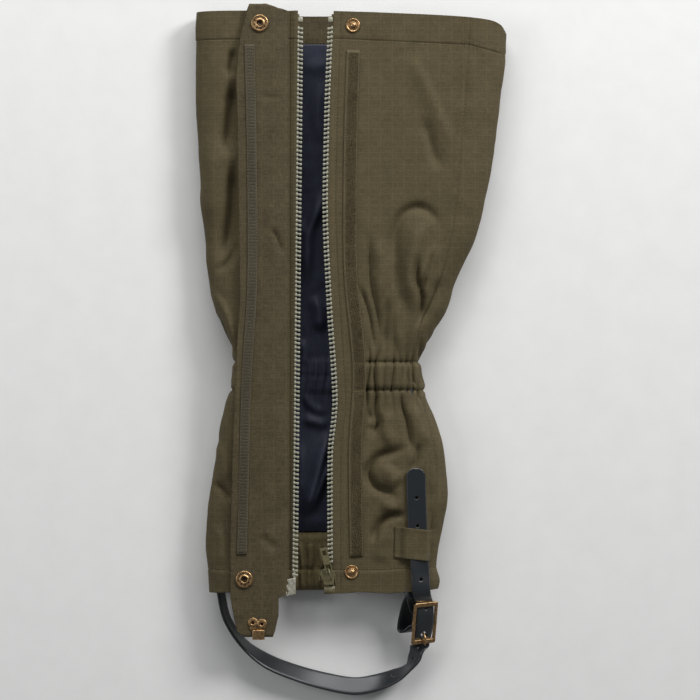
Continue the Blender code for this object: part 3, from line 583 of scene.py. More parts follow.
def plate(mesh, outline, low, high, bevel, place=None):
    """A flat outline between two heights, its rims cut back by bevel; place moves it as a matrix."""
    outline = np.array(outline, float)
    inward = np.roll(outline, -1, axis=0) - np.roll(outline, 1, axis=0)
    inward = np.stack([-inward[:, 1], inward[:, 0]], axis=1)
    inward /= np.linalg.norm(inward, axis=1, keepdims=True)
    area = np.sum(outline[:, 0] * np.roll(outline[:, 1], -1) - outline[:, 1] * np.roll(outline[:, 0], -1))
    if area < 0:
        outline, inward = outline[::-1], -inward[::-1]
    rings = [(bevel, low), (0, low + bevel), (0, high - bevel), (bevel, high)] if bevel else [(0, low), (0, high)]
    n = len(outline)
    points = np.concatenate([np.c_[outline + inward * b, np.full(n, z)] for b, z in rings])
    faces = ring_faces(len(rings), n)
    if place is not None:
        points = np.array([place @ Vector(p) for p in points])
    mesh.add(points, faces[-2:] + faces[:-2])


def stitches(mesh, path, surface, pitch=2.7, length=1.9, radius=0.26):
    """A row of thread stitches along a path of (x, y), lying on surface(x, y)."""
    path = np.array(path, float)
    steps = distances(path)
    at = np.arange(pitch / 2, steps[-1], pitch)

    def on(s):
        x, y = np.interp(s, steps, path[:, 0]), np.interp(s, steps, path[:, 1])
        return np.stack([x, y, surface(x, y)], axis=1)

    starts, middles, ends = on(at - length / 2), on(at), on(at + length / 2)
    faces = [(0, 2 + i, 2 + (i + 1) % 6) for i in range(6)] + [(1, 2 + (i + 1) % 6, 2 + i) for i in range(6)]
    for a, m, b in zip(starts, middles, ends):
        along = (b - a) / max(np.linalg.norm(b - a), 1e-6)
        side = np.cross(along, (0, 0, 1))
        side /= max(np.linalg.norm(side), 1e-6)
        top = np.cross(side, along)
        turns = np.arange(6) * math.pi / 3
        ring = [m + (side * math.cos(t) + top * math.sin(t)) * radius + top * 0.1 for t in turns]
        mesh.add([a - top * 0.12, b - top * 0.12, *ring], faces)


# ---------------------------------------------------------------- materials
class Look:
    """A node material; its helpers take sockets or numbers and return sockets."""

    def __init__(self, name, colour, roughness, metallic=0.0, specular=0.5):
        self.material = bpy.data.materials.new(name)
        self.material.use_nodes = True
        self.tree = self.material.node_tree
        self.shader = self.tree.nodes["Principled BSDF"]
        self.set("Base Color", (*colour, 1))
        self.set("Roughness", roughness)
        self.set("Metallic", metallic)
        self.set("Specular IOR Level", specular)
        self.material.diffuse_color = (*colour, 1)

    def set(self, socket, value):
        self.shader.inputs[socket].default_value = value

    def node(self, kind, inputs=(), **settings):
        made = self.tree.nodes.new(kind)
        for key, value in settings.items():
            setattr(made, key, value)
        for key, value in dict(inputs).items():
            if isinstance(value, bpy.types.NodeSocket):
                self.tree.links.new(value, made.inputs[key])
            else:
                made.inputs[key].default_value = value
        return made

    def maths(self, operation, a, b):
        return self.node("ShaderNodeMath", {0: a, 1: b}, operation=operation).outputs[0]

    def blend(self, a, share_a, b, share_b):
        return self.maths("ADD", self.maths("MULTIPLY", a, share_a), self.maths("MULTIPLY", b, share_b))

    def weave(self):
        return self.node("ShaderNodeAttribute", attribute_name="weave").outputs["Vector"]

    def scaled(self, vector, scale):
        return self.node("ShaderNodeVectorMath", {0: vector, 1: scale}, operation="MULTIPLY").outputs[0]

    def grain(self, vector, scale=1.0, detail=2.0, roughness=0.5):
        inputs = {"Vector": vector, "Scale": scale, "Detail": detail, "Roughness": roughness}
        return self.node("ShaderNodeTexNoise", inputs).outputs[0]

    def ramp(self, value, stops):
        made = self.node("ShaderNodeValToRGB", {0: value})
        elements = made.color_ramp.elements
        while len(elements) < len(stops):
            elements.new(0.5)
        for element, (position, colour) in zip(elements, stops):
            element.position = position
            element.color = (*colour, 1)
        return made.outputs[0]

    def between(self, value, low, high, to_low=0.0, to_high=1.0):
        inputs = {"Value": value, "From Min": low, "From Max": high, "To Min": to_low, "To Max": to_high}
        return self.node("ShaderNodeMapRange", inputs).outputs[0]

    def bump(self, height, distance, strength):
        inputs = {"Height": height, "Distance": distance, "Strength": strength}
        return self.node("ShaderNodeBump", inputs).outputs[0]

    def link(self, socket, target):
        self.tree.links.new(socket, self.shader.inputs[target])


def tint(colour, factor):
    return tuple(min(1.0, c * factor) for c in colour)


def cloth_look(
    name, colour, rip, contrast, roughness=0.8, sheen=0.04, period=(0.0092, 0.0046), bump=0.00025
):
    """Woven cloth: two directions of uneven threads, with heavier ripstop threads in squares."""
    look = Look(name, colour, roughness, specular=0.25)
    look.set("Sheen Weight", sheen)
    look.set("Sheen Roughness", 0.4)
    look.set("Sheen Tint", (*tint(colour, 4), 1))
    weave = look.weave()
    parts = look.node("ShaderNodeSeparateXYZ", {0: weave})
    warp = look.grain(look.scaled(weave, (1500, 190, 1)), 1, 2)
    weft = look.grain(look.scaled(weave, (190, 1500, 1)), 1, 2)
    threads = look.blend(warp, 0.5, weft, 0.5)
    mottle = look.grain(weave, 55, 3, 0.6)
    lines = []
    for k, half in enumerate((period[0] / 2, period[1] / 2)):
        swing = look.maths("PINGPONG", parts.outputs[k], half)
        lines.append(look.between(swing, half - min(0.0007, half * 0.5), half))
    squares = look.maths("MAXIMUM", lines[0], look.maths("MULTIPLY", lines[1], 0.7))
    total = look.blend(threads, 0.72, mottle, 0.28)
    total = look.maths("ADD", total, look.maths("MULTIPLY", squares, 0.12 * rip))
    stops = ((0.3, tint(colour, 1 - contrast)), (0.5, colour), (0.74, tint(colour, 1 + contrast)))
    look.link(look.ramp(total, stops), "Base Color")
    height = look.maths("ADD", threads, look.maths("MULTIPLY", squares, 0.3 * rip))
    look.link(look.bump(height, bump, 0.8), "Normal")
    look.link(look.between(threads, 0.3, 0.7, roughness + 0.08, roughness - 0.08), "Roughness")
    return look.material


def lining_look(name, colour):
    """Thin satin with fine threads along it."""
    look = Look(name, colour, 0.6, specular=0.25)
    look.set("Sheen Weight", 0.1)
    look.set("Sheen Roughness", 0.3)
    weave = look.weave()
    threads = look.grain(look.scaled(weave, (2200, 160, 1)), 1, 2)
    mottle = look.grain(weave, 60, 2)
    total = look.blend(threads, 0.6, mottle, 0.4)
    look.link(look.ramp(total, ((0.3, tint(colour, 0.7)), (0.7, tint(colour, 1.35)))), "Base Color")
    look.link(look.bump(threads, 0.00012, 0.7), "Normal")
    look.link(look.between(threads, 0.3, 0.7, 0.52, 0.66), "Roughness")
    return look.material


def metal_look(name, colour, dark):
    """Plated metal: darker in patches, with fine scuffs that are brighter and smoother."""
    roughness, scale = 0.32, 900
    look = Look(name, colour, roughness, 1.0)
    place = look.node("ShaderNodeTexCoord").outputs["Object"]
    patch = look.grain(place, scale * 0.45, 3, 0.6)
    scuff = look.grain(look.scaled(place, (scale * 3, scale * 0.7, scale)), 1, 2)
    total = look.blend(patch, 0.7, scuff, 0.3)
    look.link(look.ramp(total, ((0.32, dark), (0.5, colour), (0.72, tint(colour, 1.3)))), "Base Color")
    look.link(look.between(total, 0.3, 0.7, roughness + 0.16, roughness - 0.06), "Roughness")
    look.link(look.bump(total, 0.0001, 0.4), "Normal")
    return look.material


def strap_look(name, colour):
    """Coated strap: a close pebbled grain, a little dusty and scuffed."""
    look = Look(name, colour, 0.3, specular=0.5)
    look.set("Sheen Weight", 0.25)
    look.set("Sheen Roughness", 0.35)
    look.set("Coat Weight", 0.15)
    look.set("Coat Roughness", 0.4)
    weave = look.weave()
    pebbles = look.node("ShaderNodeTexVoronoi", {"Vector": weave, "Scale": 1500.0}).outputs["Distance"]
    dust = look.grain(weave, 120, 4, 0.65)
    look.link(look.ramp(dust, ((0.3, tint(colour, 0.75)), (0.7, tint(colour, 1.4)))), "Base Color")
    look.link(look.bump(look.maths("ADD", pebbles, dust), 0.00012, 0.5), "Normal")
    look.link(look.between(dust, 0.3, 0.7, 0.26, 0.38), "Roughness")
    return look.material


def plastic_look(name, colour, roughness=0.4, contrast=0.15, scale=700):
    """Moulded plastic or paint with a faint mottled sheen."""
    look = Look(name, colour, roughness)
    place = look.node("ShaderNodeTexCoord").outputs["Object"]
    mottle = look.grain(place, scale, 3, 0.6)
    look.link(look.ramp(mottle, ((0.3, tint(colour, 1 - contrast)), (0.7, tint(colour, 1 + contrast)))), "Base Color")
    look.link(look.between(mottle, 0.3, 0.7, roughness + 0.08, roughness - 0.05), "Roughness")
    look.link(look.bump(mottle, 0.00006, 0.5), "Normal")
    return look.material


OLIVE = cloth_look("olive ripstop cloth", (0.0715, 0.0565, 0.0275), rip=1.0, contrast=0.36)
# The flap's own darker cloth. The back top band takes it too, as painted shade where that band lies in shadow.
FLAP_AND_SHADED_BAND_CLOTH = cloth_look("flap cloth and painted band shade", (0.06, 0.047, 0.0235), rip=0.7, contrast=0.62)
NAVY = lining_look("navy satin lining", (0.037, 0.041, 0.064))
ELASTIC = cloth_look("ribbed elastic", (0.05, 0.043, 0.026), rip=1.0, period=(0.0016, 0.0016), contrast=0.35)
TAPE = cloth_look("zip tape weave", (0.09, 0.072, 0.04), rip=1.2, period=(0.0012, 0.0012), contrast=0.2)
HOOK_BASE = cloth_look("hook tape weave", (0.071, 0.06, 0.038), rip=0.8, period=(0.0016, 0.0016), contrast=0.25)
HOOKS = plastic_look("hook filament", (0.09, 0.077, 0.05), 0.35)
LOOP_BASE = cloth_look("loop tape weave", (0.082, 0.065, 0.034), rip=0.4, period=(0.0016, 0.0016), contrast=0.5)
LOOPS = cloth_look("loop pile", (0.1, 0.078, 0.041), rip=0.0, contrast=0.8, roughness=0.9, sheen=0.1)
THREAD = cloth_look("sewing thread", (0.13, 0.108, 0.062), rip=0.0, contrast=0.25, bump=0.0001)
TEETH = plastic_look("moulded zip teeth", (0.27, 0.265, 0.2), 0.3)
FILM = plastic_look("tape end film", (0.28, 0.27, 0.22), 0.22, 0.4)
# Painted light: the hem facing's cloth is made lighter than the shell, standing in for light it lacks deep in the gap.
FACING_PAINTED_LIGHT = cloth_look("hem facing cloth with painted light", (0.14, 0.113, 0.055), rip=0.3, contrast=0.4)
PAINT = plastic_look("olive painted metal", (0.115, 0.1, 0.05), 0.34, 0.3)
BRONZE = metal_look("aged bronze", (0.43, 0.275, 0.135), (0.12, 0.068, 0.036))
# Painted shade: near-black metal set into holes and recesses, standing for the shadow inside them.
HOLE_SHADE_METAL = metal_look("painted shade in holes", (0.07, 0.045, 0.03), (0.02, 0.014, 0.01))
STRAP = strap_look("black coated strap", (0.0095, 0.012, 0.0142))


# ---------------------------------------------------------------- how pieces ride
RIGHT_BEND = ("right_front", "sleeve", (0.020, 0, 0.028), (0.031, 0, 0.019))
LEFT_BEND = ("left_front", "sleeve", (-0.090, 0, 0.028), (-0.098, 0, 0.017))
FLAP_BEND = ("left_front", "storm_flap", (-0.0482, 0, 0.0284), (-0.0524, 0, 0.0284))
STRAP_BEND = ("sleeve", "instep_strap", (0, -0.186, 0), (0, -0.193, 0))


def place(obj, body, slot, *nodes):
    """Rides a piece on its body, or, where body is a pair to bend between, only bakes its place into its mesh; and
    hides the CAD it stands for.
    """
    if isinstance(body, tuple):
        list(body)
        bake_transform(obj)
    else:
        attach(obj, body)
    if nodes:
        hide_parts(*nodes)
    return obj


def keep(node, material):
    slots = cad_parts[node].data.materials
    slots.clear()
    slots.append(material)


# ---------------------------------------------------------------- sleeve cloth
def round_points(start, reach, rise, first, last, count):
    """Part of an ellipse in the section plane, centred at x = start and the sleeve's middle height."""
    angles = np.linspace(first, last, count)
    return [(start + reach * math.cos(a), MID_Z + rise * math.sin(a)) for a in angles]


def with_run(points, edge, side):
    """Adds u to section points: x on the front half, then the distance on from the outline."""
    out = [(x, z, x) for x, z in points]
    below = [k for k, (_, z) in enumerate(points) if z < MID_Z - 1e-6]
    run, last = 0.0, (edge, MID_Z)
    for k in sorted(below, key=lambda k: -points[k][1]):
        x, z = points[k]
        run += math.hypot(x - last[0], z - last[1])
        last = (x, z)
        out[k] = (x, z, edge + side * run)
    return out


def right_section(y):
    edge = float(curve(y, RIGHT_LINE))
    start = edge - RIGHT_ROUND
    points = [(float(right_chain(y)) + 2.3, FRONT_Z)]
    points += round_points(start, RIGHT_ROUND, HALF_HEIGHT, math.pi / 2, -math.pi / 2, 49)
    return with_run(points, edge, 1), (float(right_chain(y)) + TAPE_SEAM, float(curve(y, SEAM)))


def left_reach(edge):
    """How far in from the left outline its front half goes on curving."""
    return np.clip(LEFT_SHOULDER - edge, 5.0, 24.0)


def left_section(y):
    edge = float(curve(y, LEFT_LINE))
    reach = left_reach(edge)
    lower = round_points(edge + LEFT_ROUND, -LEFT_ROUND, -HALF_HEIGHT, math.pi / 2, 0, 25)
    upper = round_points(edge + reach, -reach, HALF_HEIGHT, 0, math.pi / 2, 25)
    points = lower + upper[1:] + [(LEFT_SEAM, FRONT_Z), (float(left_chain(y)) - 1.9, FRONT_Z)]
    return with_run(points, edge, -1), (LEFT_SEAM,)


def right_hem(x):
    return HEM + 0.5 * np.sin(x / 6.0) + 3.4 * ease((x - 46) / 26)


def left_hem(x):
    return HEM + 0.5 * np.sin(x / 8.0) + 1.2 * ease((x + 44) / 3)


def base_height(x, y, inset=0.0):
    """Middle height of the smooth right front at x, set in for the lining."""
    start = curve(y, RIGHT_LINE) - RIGHT_ROUND
    t = np.clip((x - start) / (RIGHT_ROUND - inset), 0, 0.999)
    return MID_Z + (HALF_HEIGHT - inset) * np.sqrt(1 - t * t)


def right_top(x, y):
    """Height of the right cloth's outer face, near enough where it is not steep."""
    x, y = np.asarray(x, float), np.asarray(y, float)
    return base_height(x, y) + right_shape(x, y) + SHELL / 2


def left_top(x, y):
    x, y = np.asarray(x, float), np.asarray(y, float)
    edge = curve(y, LEFT_LINE)
    reach = left_reach(edge)
    t = np.clip((edge + reach - x) / reach, 0, 0.999)
    return MID_Z + HALF_HEIGHT * np.sqrt(1 - t * t) + left_shape(x, y) + SHELL / 2


def flap_mid(x, y):
    return 29.35 + 1.92 * ease((-50.0 - x) / 9) + flap_shape(x, y)


def flap_top(x, y):
    return flap_mid(np.asarray(x, float), np.asarray(y, float)) + FLAP_THICK / 2


def right_lining(x, y):
    return base_height(x, y, 1.3) + np.minimum(right_shape(x, y), 0) + 0.1


def left_lining(x, y):
    return 26.15 + np.minimum(left_shape(x, y), 0)


def lay(made, body, slot, nodes, held, rests):
    place(made[0], body, slot, *nodes)
    declare(*made, held, rests)


def back_left(y, inset=0.0):
    return curve(y, LEFT_LINE) + LEFT_ROUND + 0.2 + inset


def back_right(y, inset=0.0):
    return curve(y, RIGHT_LINE) - RIGHT_ROUND - 0.2 - inset


def back_height(x, y):
    gathers = 0.25 + 0.25 * np.sin(x * 0.95 + 1.5 * np.sin(y / 9))
    near_waist = np.exp(-np.abs(y - WAIST_MIDDLE) / 16)
    return 0.47 + gathers * near_waist + 0.06 * (1 + noise(x, y, 20, 31))


def build_cloth():
    for name, section, counts, shape, low, body, nodes in (
        ("right_cloth", right_section, (1, 52, 42), right_shape, right_hem, RIGHT_BEND,
         ("right_front_panel", "right_outer_panel", "right_side_panel")),
        ("left_cloth", left_section, (60, 1), left_shape, left_hem, LEFT_BEND, ("left_side_panel", "left_front_panel")),
    ):
        made = tube_cloth(name, section, counts, shape, SHELL, OLIVE, low, top_line)
        lay(made, body, "olive_fabric", nodes, "gathered", ["back_cloth"])
    made = flat_cloth("back_cloth", back_left, back_right, HEM, TOP - 1.5, back_height, 2.4, SHELL, OLIVE)
    lay(made, "sleeve", "olive_fabric", ["back_panel"], "laid", [])


LINING_FOLDS = (
    (((-18, 128), (-26, 110), (-33, 92), (-34, 50)), 4.0, 3.4, 6),
    (((-33, 128), (-34, 108), (-36, 92)), -1.5, 4, 4),
    (((-17, 52), (-21, 44), (-20, 34)), -1.5, 4, 4),
    (((-30, 44), (-25, 34), (-24, 14)), 3.4, 5, 5),
    (((-40, 10), (-36, 0), (-37, -12)), 2.0, 3, 3),
    (((-17, 230), (-26, 222), (-40, 226)), 0.8, 4, 6),
    (((-22, 214), (-26, 190), (-24, 160)), 1.6, 6, 4),
    (((-39, -52), (-29, -55), (-16, -58)), 2.4, 2.6, 4),
    (((-38, -30), (-32, -42), (-18, -50)), 1.6, 3, 3),
    (((-15, -58), (-22, -84), (-31, -112), (-40, -134)), 4.2, 2.6, 5),
    (((-15, -84), (-24, -108), (-34, -130)), 3.4, 2.4, 4.4),
    (((-40, -70), (-39, -96), (-42, -116)), 1.6, 4, 4),
    (((-70, 120), (-66, 60), (-70, 10)), 2.5, 7, 7),
    (((40, 180), (30, 110), (20, 50)), 3, 7, 7),
    (((10, -50), (14, -90), (6, -130)), 2.5, 5, 5),
)


def lining_height(x, y):
    """The back lining: gathered at the waist, with long folds that lean across the zip's gap."""
    d = 0.5 + 0.5 * noise(x, y, 30, 33) + 0.15 * noise(x, y, 9, 34)
    d = with_folds(d, x, y, LINING_FOLDS)
    band = ease((y + 34) / 4) * ease((-5 - y) / 4)
    spacing = x * 1.08 + 0.9 * np.sin(x / 5.3) + 1.4 * np.sin(y / 8)
    ruffles = (1.2 + 0.9 * np.sin(spacing)) * np.exp(-np.abs(y - WAIST_MIDDLE) / 15)
    rows = np.exp(-(((y - WAIST_MIDDLE) / 1.6) ** 2))
    swell = 4.0 * np.exp(-(((x + 29) / 17) ** 2)) * ease((-48 - y) / 40) * ease((y + 146) / 14)
    return 1.9 + swell + np.maximum(d, 0) + 1.5 * band + ruffles - 1.1 * rows


def hem_gathers(x, y):
    """The inside hem band, gathered on its elastic between rows of stitches."""
    spacing = x * 0.95 + 1.2 * np.sin(x / 4.1 + y / 11) + 0.7 * np.sin(y / 5)
    ruffles = (1.9 + 1.9 * np.sin(spacing)) * ease((y + 192) / 10) * ease((-142 - y) / 12)
    rows = sum(np.exp(-(((y - row) / 1.3) ** 2)) for row in (-150.0, -171.0))
    over = 3.4 * ease((y + 190) / 5) * ease((-142 - y) / 5)
    return 1.95 + over + ruffles * (1 - 0.7 * rows) + 0.3 * noise(x, y, 12, 35)


def top_facing_height(x, y):
    return 2.6 + 0.4 * noise(x, y, 25, 36)


def ribs(x, y):
    """Height of an elastic laid across the back."""
    return 1.95 + 0.15 * np.sin(y * 2.6) + 0.25 * np.sin(x * 0.9)


def channel(lining):
    """Height of an elastic against the inner side of a lining."""
    return lambda x, y: lining(x, y) - 1.3 - 0.35 * (1 + np.sin(x * 1.1 + np.sin(y / 3)))


def upright(x):
    return lambda y: x + 0 * y


def build_linings():
    back = (lambda y: back_left(y, 2), lambda y: back_right(y, 2))
    right_front = (lambda y: right_chain(y) + 5, lambda y: curve(y, SEAM) - 5)
    left_front = (lambda y: np.maximum(-94.2, curve(y, LEFT_LINE)) + 4.5, upright(-48))
    facing, satin, elastic = ("olive_fabric", 0.8), ("lining", LINING), ("elastic", 0.7)
    for name, edges, low, high, height, step, (slot, thickness), material, body, nodes, held, rests in (
        ("back_lining_cloth", back, -142.0, 241.0, lining_height, 1.9, satin, NAVY,
         "sleeve", ["back_lining"], "gathered", "back_cloth"),
        # painted shade: the back top band takes the darker flap cloth because it lies in shadow
        ("back_top_band", back, BAND_LOW, TOP - 1.0, top_facing_height, 2.4, facing, FLAP_AND_SHADED_BAND_CLOTH,
         "sleeve", ["back_top_facing"], "laid", "back_cloth"),
        # painted light: the hem band's lighter cloth stands in for light the band lacks in the gap
        ("back_hem_band", back, HEM + 0.6, HEM_BAND_HIGH, hem_gathers, 1.5, facing, FACING_PAINTED_LIGHT,
         "sleeve", ["back_hem_facing"], "gathered", "back_cloth"),
        ("waist_elastic_back", back, *WAIST, ribs, 1.2, elastic, ELASTIC,
         "sleeve", ["ankle_elastic_back"], "stretched", "back_cloth"),
        ("hem_elastic_band", back, HEM + 4, HEM + 16, ribs, 1.2, elastic, ELASTIC,
         "sleeve", ["hem_elastic"], "stretched", "back_cloth"),
        ("right_lining_cloth", right_front, HEM + 8, TOP - 4, right_lining, 2.2, satin, NAVY,
         RIGHT_BEND, ["right_front_lining", "right_outer_lining"], "hung", "right_cloth"),
        ("waist_elastic_right", (upright(-4), upright(36)), *WAIST, channel(right_lining), 1.2, elastic, ELASTIC,
         RIGHT_BEND, ["ankle_elastic_right", "ankle_elastic_outer"], "stretched", "right_lining_cloth"),
        ("left_lining_cloth", left_front, HEM + 8, TOP - 24, left_lining, 2.4, satin, NAVY,
         "left_front", ["left_front_lining"], "hung", "left_cloth"),
        ("waist_elastic_left", (upright(-86), upright(-48)), *WAIST, channel(left_lining), 1.2, elastic, ELASTIC,
         "left_front", ["ankle_elastic_left"], "stretched", "left_lining_cloth"),
    ):
        made = flat_cloth(name, *edges, low, high, height, step, thickness, material)
        lay(made, body, slot, nodes, held, [rests])


# ---------------------------------------------------------------- storm flap
HOOK_PATH = ((-84.6, -158), (-83.2, -110), (-80.8, -20), (-76.6, 50), (-76.8, 150), (-78.6, 238))
LOOP_PATH = ((3.9, -160), (3.1, -77), (6.0, -15), (-0.6, 60), (-1.2, 120), (-0.3, 180), (1.4, 234))


def build_flap():
    corners = [row[0] for row in FLAP]
    ys = np.array(sorted(set(corners) | set(np.linspace(corners[0], corners[-1], 236))))
    ys = np.array([y for y in ys if y in corners or min(abs(y - c) for c in corners) > 0.4])
    s = spread(26, 0.02)[None, :]
    left, right = straight(ys, FLAP, 1)[:, None], straight(ys, FLAP, 2)[:, None]
    x = left + (right - left) * s
    y = ys[:, None] + 0 * x
    mesh = Mesh()
    add_layer(mesh, x, y, flap_mid(x, y), FLAP_THICK)
    obj = mesh.make("storm_flap", FLAP_AND_SHADED_BAND_CLOTH)
    place(obj, FLAP_BEND, "flap_fabric", "storm_flap_outer", "storm_flap_inner")
    width = float(np.max(right) - np.min(left)) * MM
    area = integral((right - left)[:, 0], ys) * MM * MM
    declare(obj, (width, float(ys[-1] - ys[0]) * MM), area, "folded", ["left_cloth"])


def tape_base(path, top, shift, width):
    """A tape laid along a path on a surface; returns its mesh and the centres of its path."""
    count, lift = 150, 0.5
    ys = np.linspace(path[0][1], path[-1][1], count)
    xs = curve(ys, [(y, x) for x, y in path])
    slope = np.gradient(xs, ys)
    across = np.stack([np.ones(count), -slope, np.zeros(count)], axis=1)
    across /= np.linalg.norm(across, axis=1, keepdims=True)
    centres = np.stack([xs, ys, top(xs, ys) + lift], axis=1)
    base = Mesh()
    ribbon(base, centres + (shift, 0, 0), across, width, 0.8)
    return base, centres


def tape_edges(centres, offsets, top, length, radius):
    rows = Mesh()
    for offset in offsets:
        stitches(rows, [(x + offset, y) for x, y in centres[:, :2]], lambda x, y: top(x, y) + 0.95, 2.2, length, radius)
    return rows


def build_hook_tape():
    base, centres = tape_base(HOOK_PATH, flap_top, 0, 7.8)
    place(base.make("hook_tape_base", HOOK_BASE), "storm_flap", "hook_tape", "hook_tape")
    rng = np.random.default_rng(5)
    hooks = Mesh()
    table = [(y, x) for x, y in HOOK_PATH]
    stub = [(0, 1, 4, 3), (1, 2, 5, 4), (2, 0, 3, 5), (3, 4, 7, 6), (4, 5, 8, 7), (5, 3, 6, 8), (6, 7, 8)]
    for j, y in enumerate(np.arange(-157, 237, 1.25)):
        middle = float(curve(y, table))
        for k in range(6):
            x = middle + (k - 2.5) * 0.95 + 0.47 * (j % 2 - 0.5) + rng.uniform(-0.08, 0.08)
            z = float(flap_top(x, y)) + 0.85 if k == 0 else z
            side = 1 if j % 2 else -1
            points = []
            for height, shift, size in ((0, 0, 0.26), (0.55, 0.05, 0.2), (0.7, 0.42, 0.12)):
                for a in (0, 2.1, 4.2):
                    points.append((x + size * math.cos(a), y + side * shift + size * math.sin(a), z + height))
            hooks.add(points, stub)
    place(hooks.make("hook_filaments", HOOKS), "storm_flap", "hook_tape")
    rows = tape_edges(centres, (-3.3, 3.3), flap_top, 1.7, 0.24)
    place(rows.make("hook_tape_stitches", THREAD), "storm_flap", "hook_tape")


def build_loop_tape():
    base, centres = tape_base(LOOP_PATH, right_top, 0.5, 10.4)
    place(base.make("loop_tape_base", LOOP_BASE), "right_front", "loop_tape", "loop_tape")
    rng = np.random.default_rng(6)
    pile = Mesh()
    table = [(y, x) for x, y in LOOP_PATH]
    hair = [(0, 1, 3, 2), (2, 3, 5, 4), (4, 5, 7, 6)]
    for y in np.arange(-158, 232, 0.62):
        middle = float(curve(y, table)) + 1.3
        z = float(right_top(middle, y)) + 0.85
        for x in middle + np.arange(-3.3, 3.4, 0.74) + rng.uniform(-0.3, 0.3, 10):
            a = rng.uniform(0, math.pi)
            c, s = math.cos(a), math.sin(a)
            rise = rng.uniform(0.5, 1.0)
            points = []
            for run, height in ((-0.5, 0), (-0.3, rise), (0.3, rise), (0.5, 0)):
                for w in (-0.16, 0.16):
                    points.append((x + c * run - s * w, y + s * run + c * w, z + height))
            pile.add(points, hair)
    place(pile.make("loop_pile", LOOPS), "right_front", "loop_tape")
    rows = tape_edges(centres, (-4.2, 5.2), right_top, 1.8, 0.26)
    place(rows.make("loop_tape_stitches", THREAD), "right_front", "loop_tape")


def build_stitches():
    def across(mesh, surface, first, last, line, spacing=2.0, *thread):
        """A row of stitches from one x to another, at the height along Y that line(x) gives."""
        xs = np.arange(first, last, spacing)
        stitches(mesh, np.c_[xs, line(xs)], surface, *thread)

    ys = np.arange(-186, 262, 2.0)
    right = Mesh()
    across(right, right_top, -12.5, 118, band_line)
    stitches(right, np.c_[curve(ys, SEAM), ys], right_top)
    stitches(right, np.c_[right_chain(ys) + TAPE_SEAM, ys], right_top)
    across(right, right_top, -12, 65, hem_line)
    across(right, right_top, 11, 53, upright(ROW_HIGH), 1.0, 2.2, 1.5)
    across(right, right_top, -7, 53, upright(ROW_LOW), 1.0, 2.2, 1.5)
    place(right.make("right_stitches", THREAD), RIGHT_BEND, "olive_fabric")
    left = Mesh()
    across(left, left_top, -118, -80, band_line)
    across(left, left_top, -108, -90, hem_line)
    stitches(left, np.c_[upright(LEFT_SEAM)(ys), ys], left_top)
    place(left.make("left_stitches", THREAD), LEFT_BEND, "olive_fabric")
    back = Mesh()
    across(back, lambda x, y: 3.05 + 0 * x, -90, 90, upright(242.2))
    for row in (-141.8, -151.0, -171.0):
        across(back, lambda x, y: hem_gathers(x, y) + 0.42, -88, 40, upright(row))
    place(back.make("band_stitches", THREAD), "sleeve", "olive_fabric")


# ---------------------------------------------------------------- zip
def add_chain(mesh, side, centre, foot):
    """Half of a moulded zip: each tooth is a waisted lump clamped over the tape's corded edge."""
    for k in range(int((CHAIN_TOP - foot) / TOOTH_PITCH)):
        y = foot + k * TOOTH_PITCH + 2.1
        x = float(centre(y))

        def piece(x0, x1, middle, half_y, half_z, bevel):
            low, high = sorted((x + side * x0, x + side * x1))
            at = y + middle
            block(mesh, (low, at - half_y, CHAIN_Z - half_z), (high, at + half_y, CHAIN_Z + half_z), bevel)

        piece(-2.2, -0.6, 0.25, 1.35, 1.35, 0.4)
        piece(-1.0, 1.1, 0, 0.7, 1.25, 0.3)
        piece(0.5, 2.2, -0.3, 1.05, 1.2, 0.35)


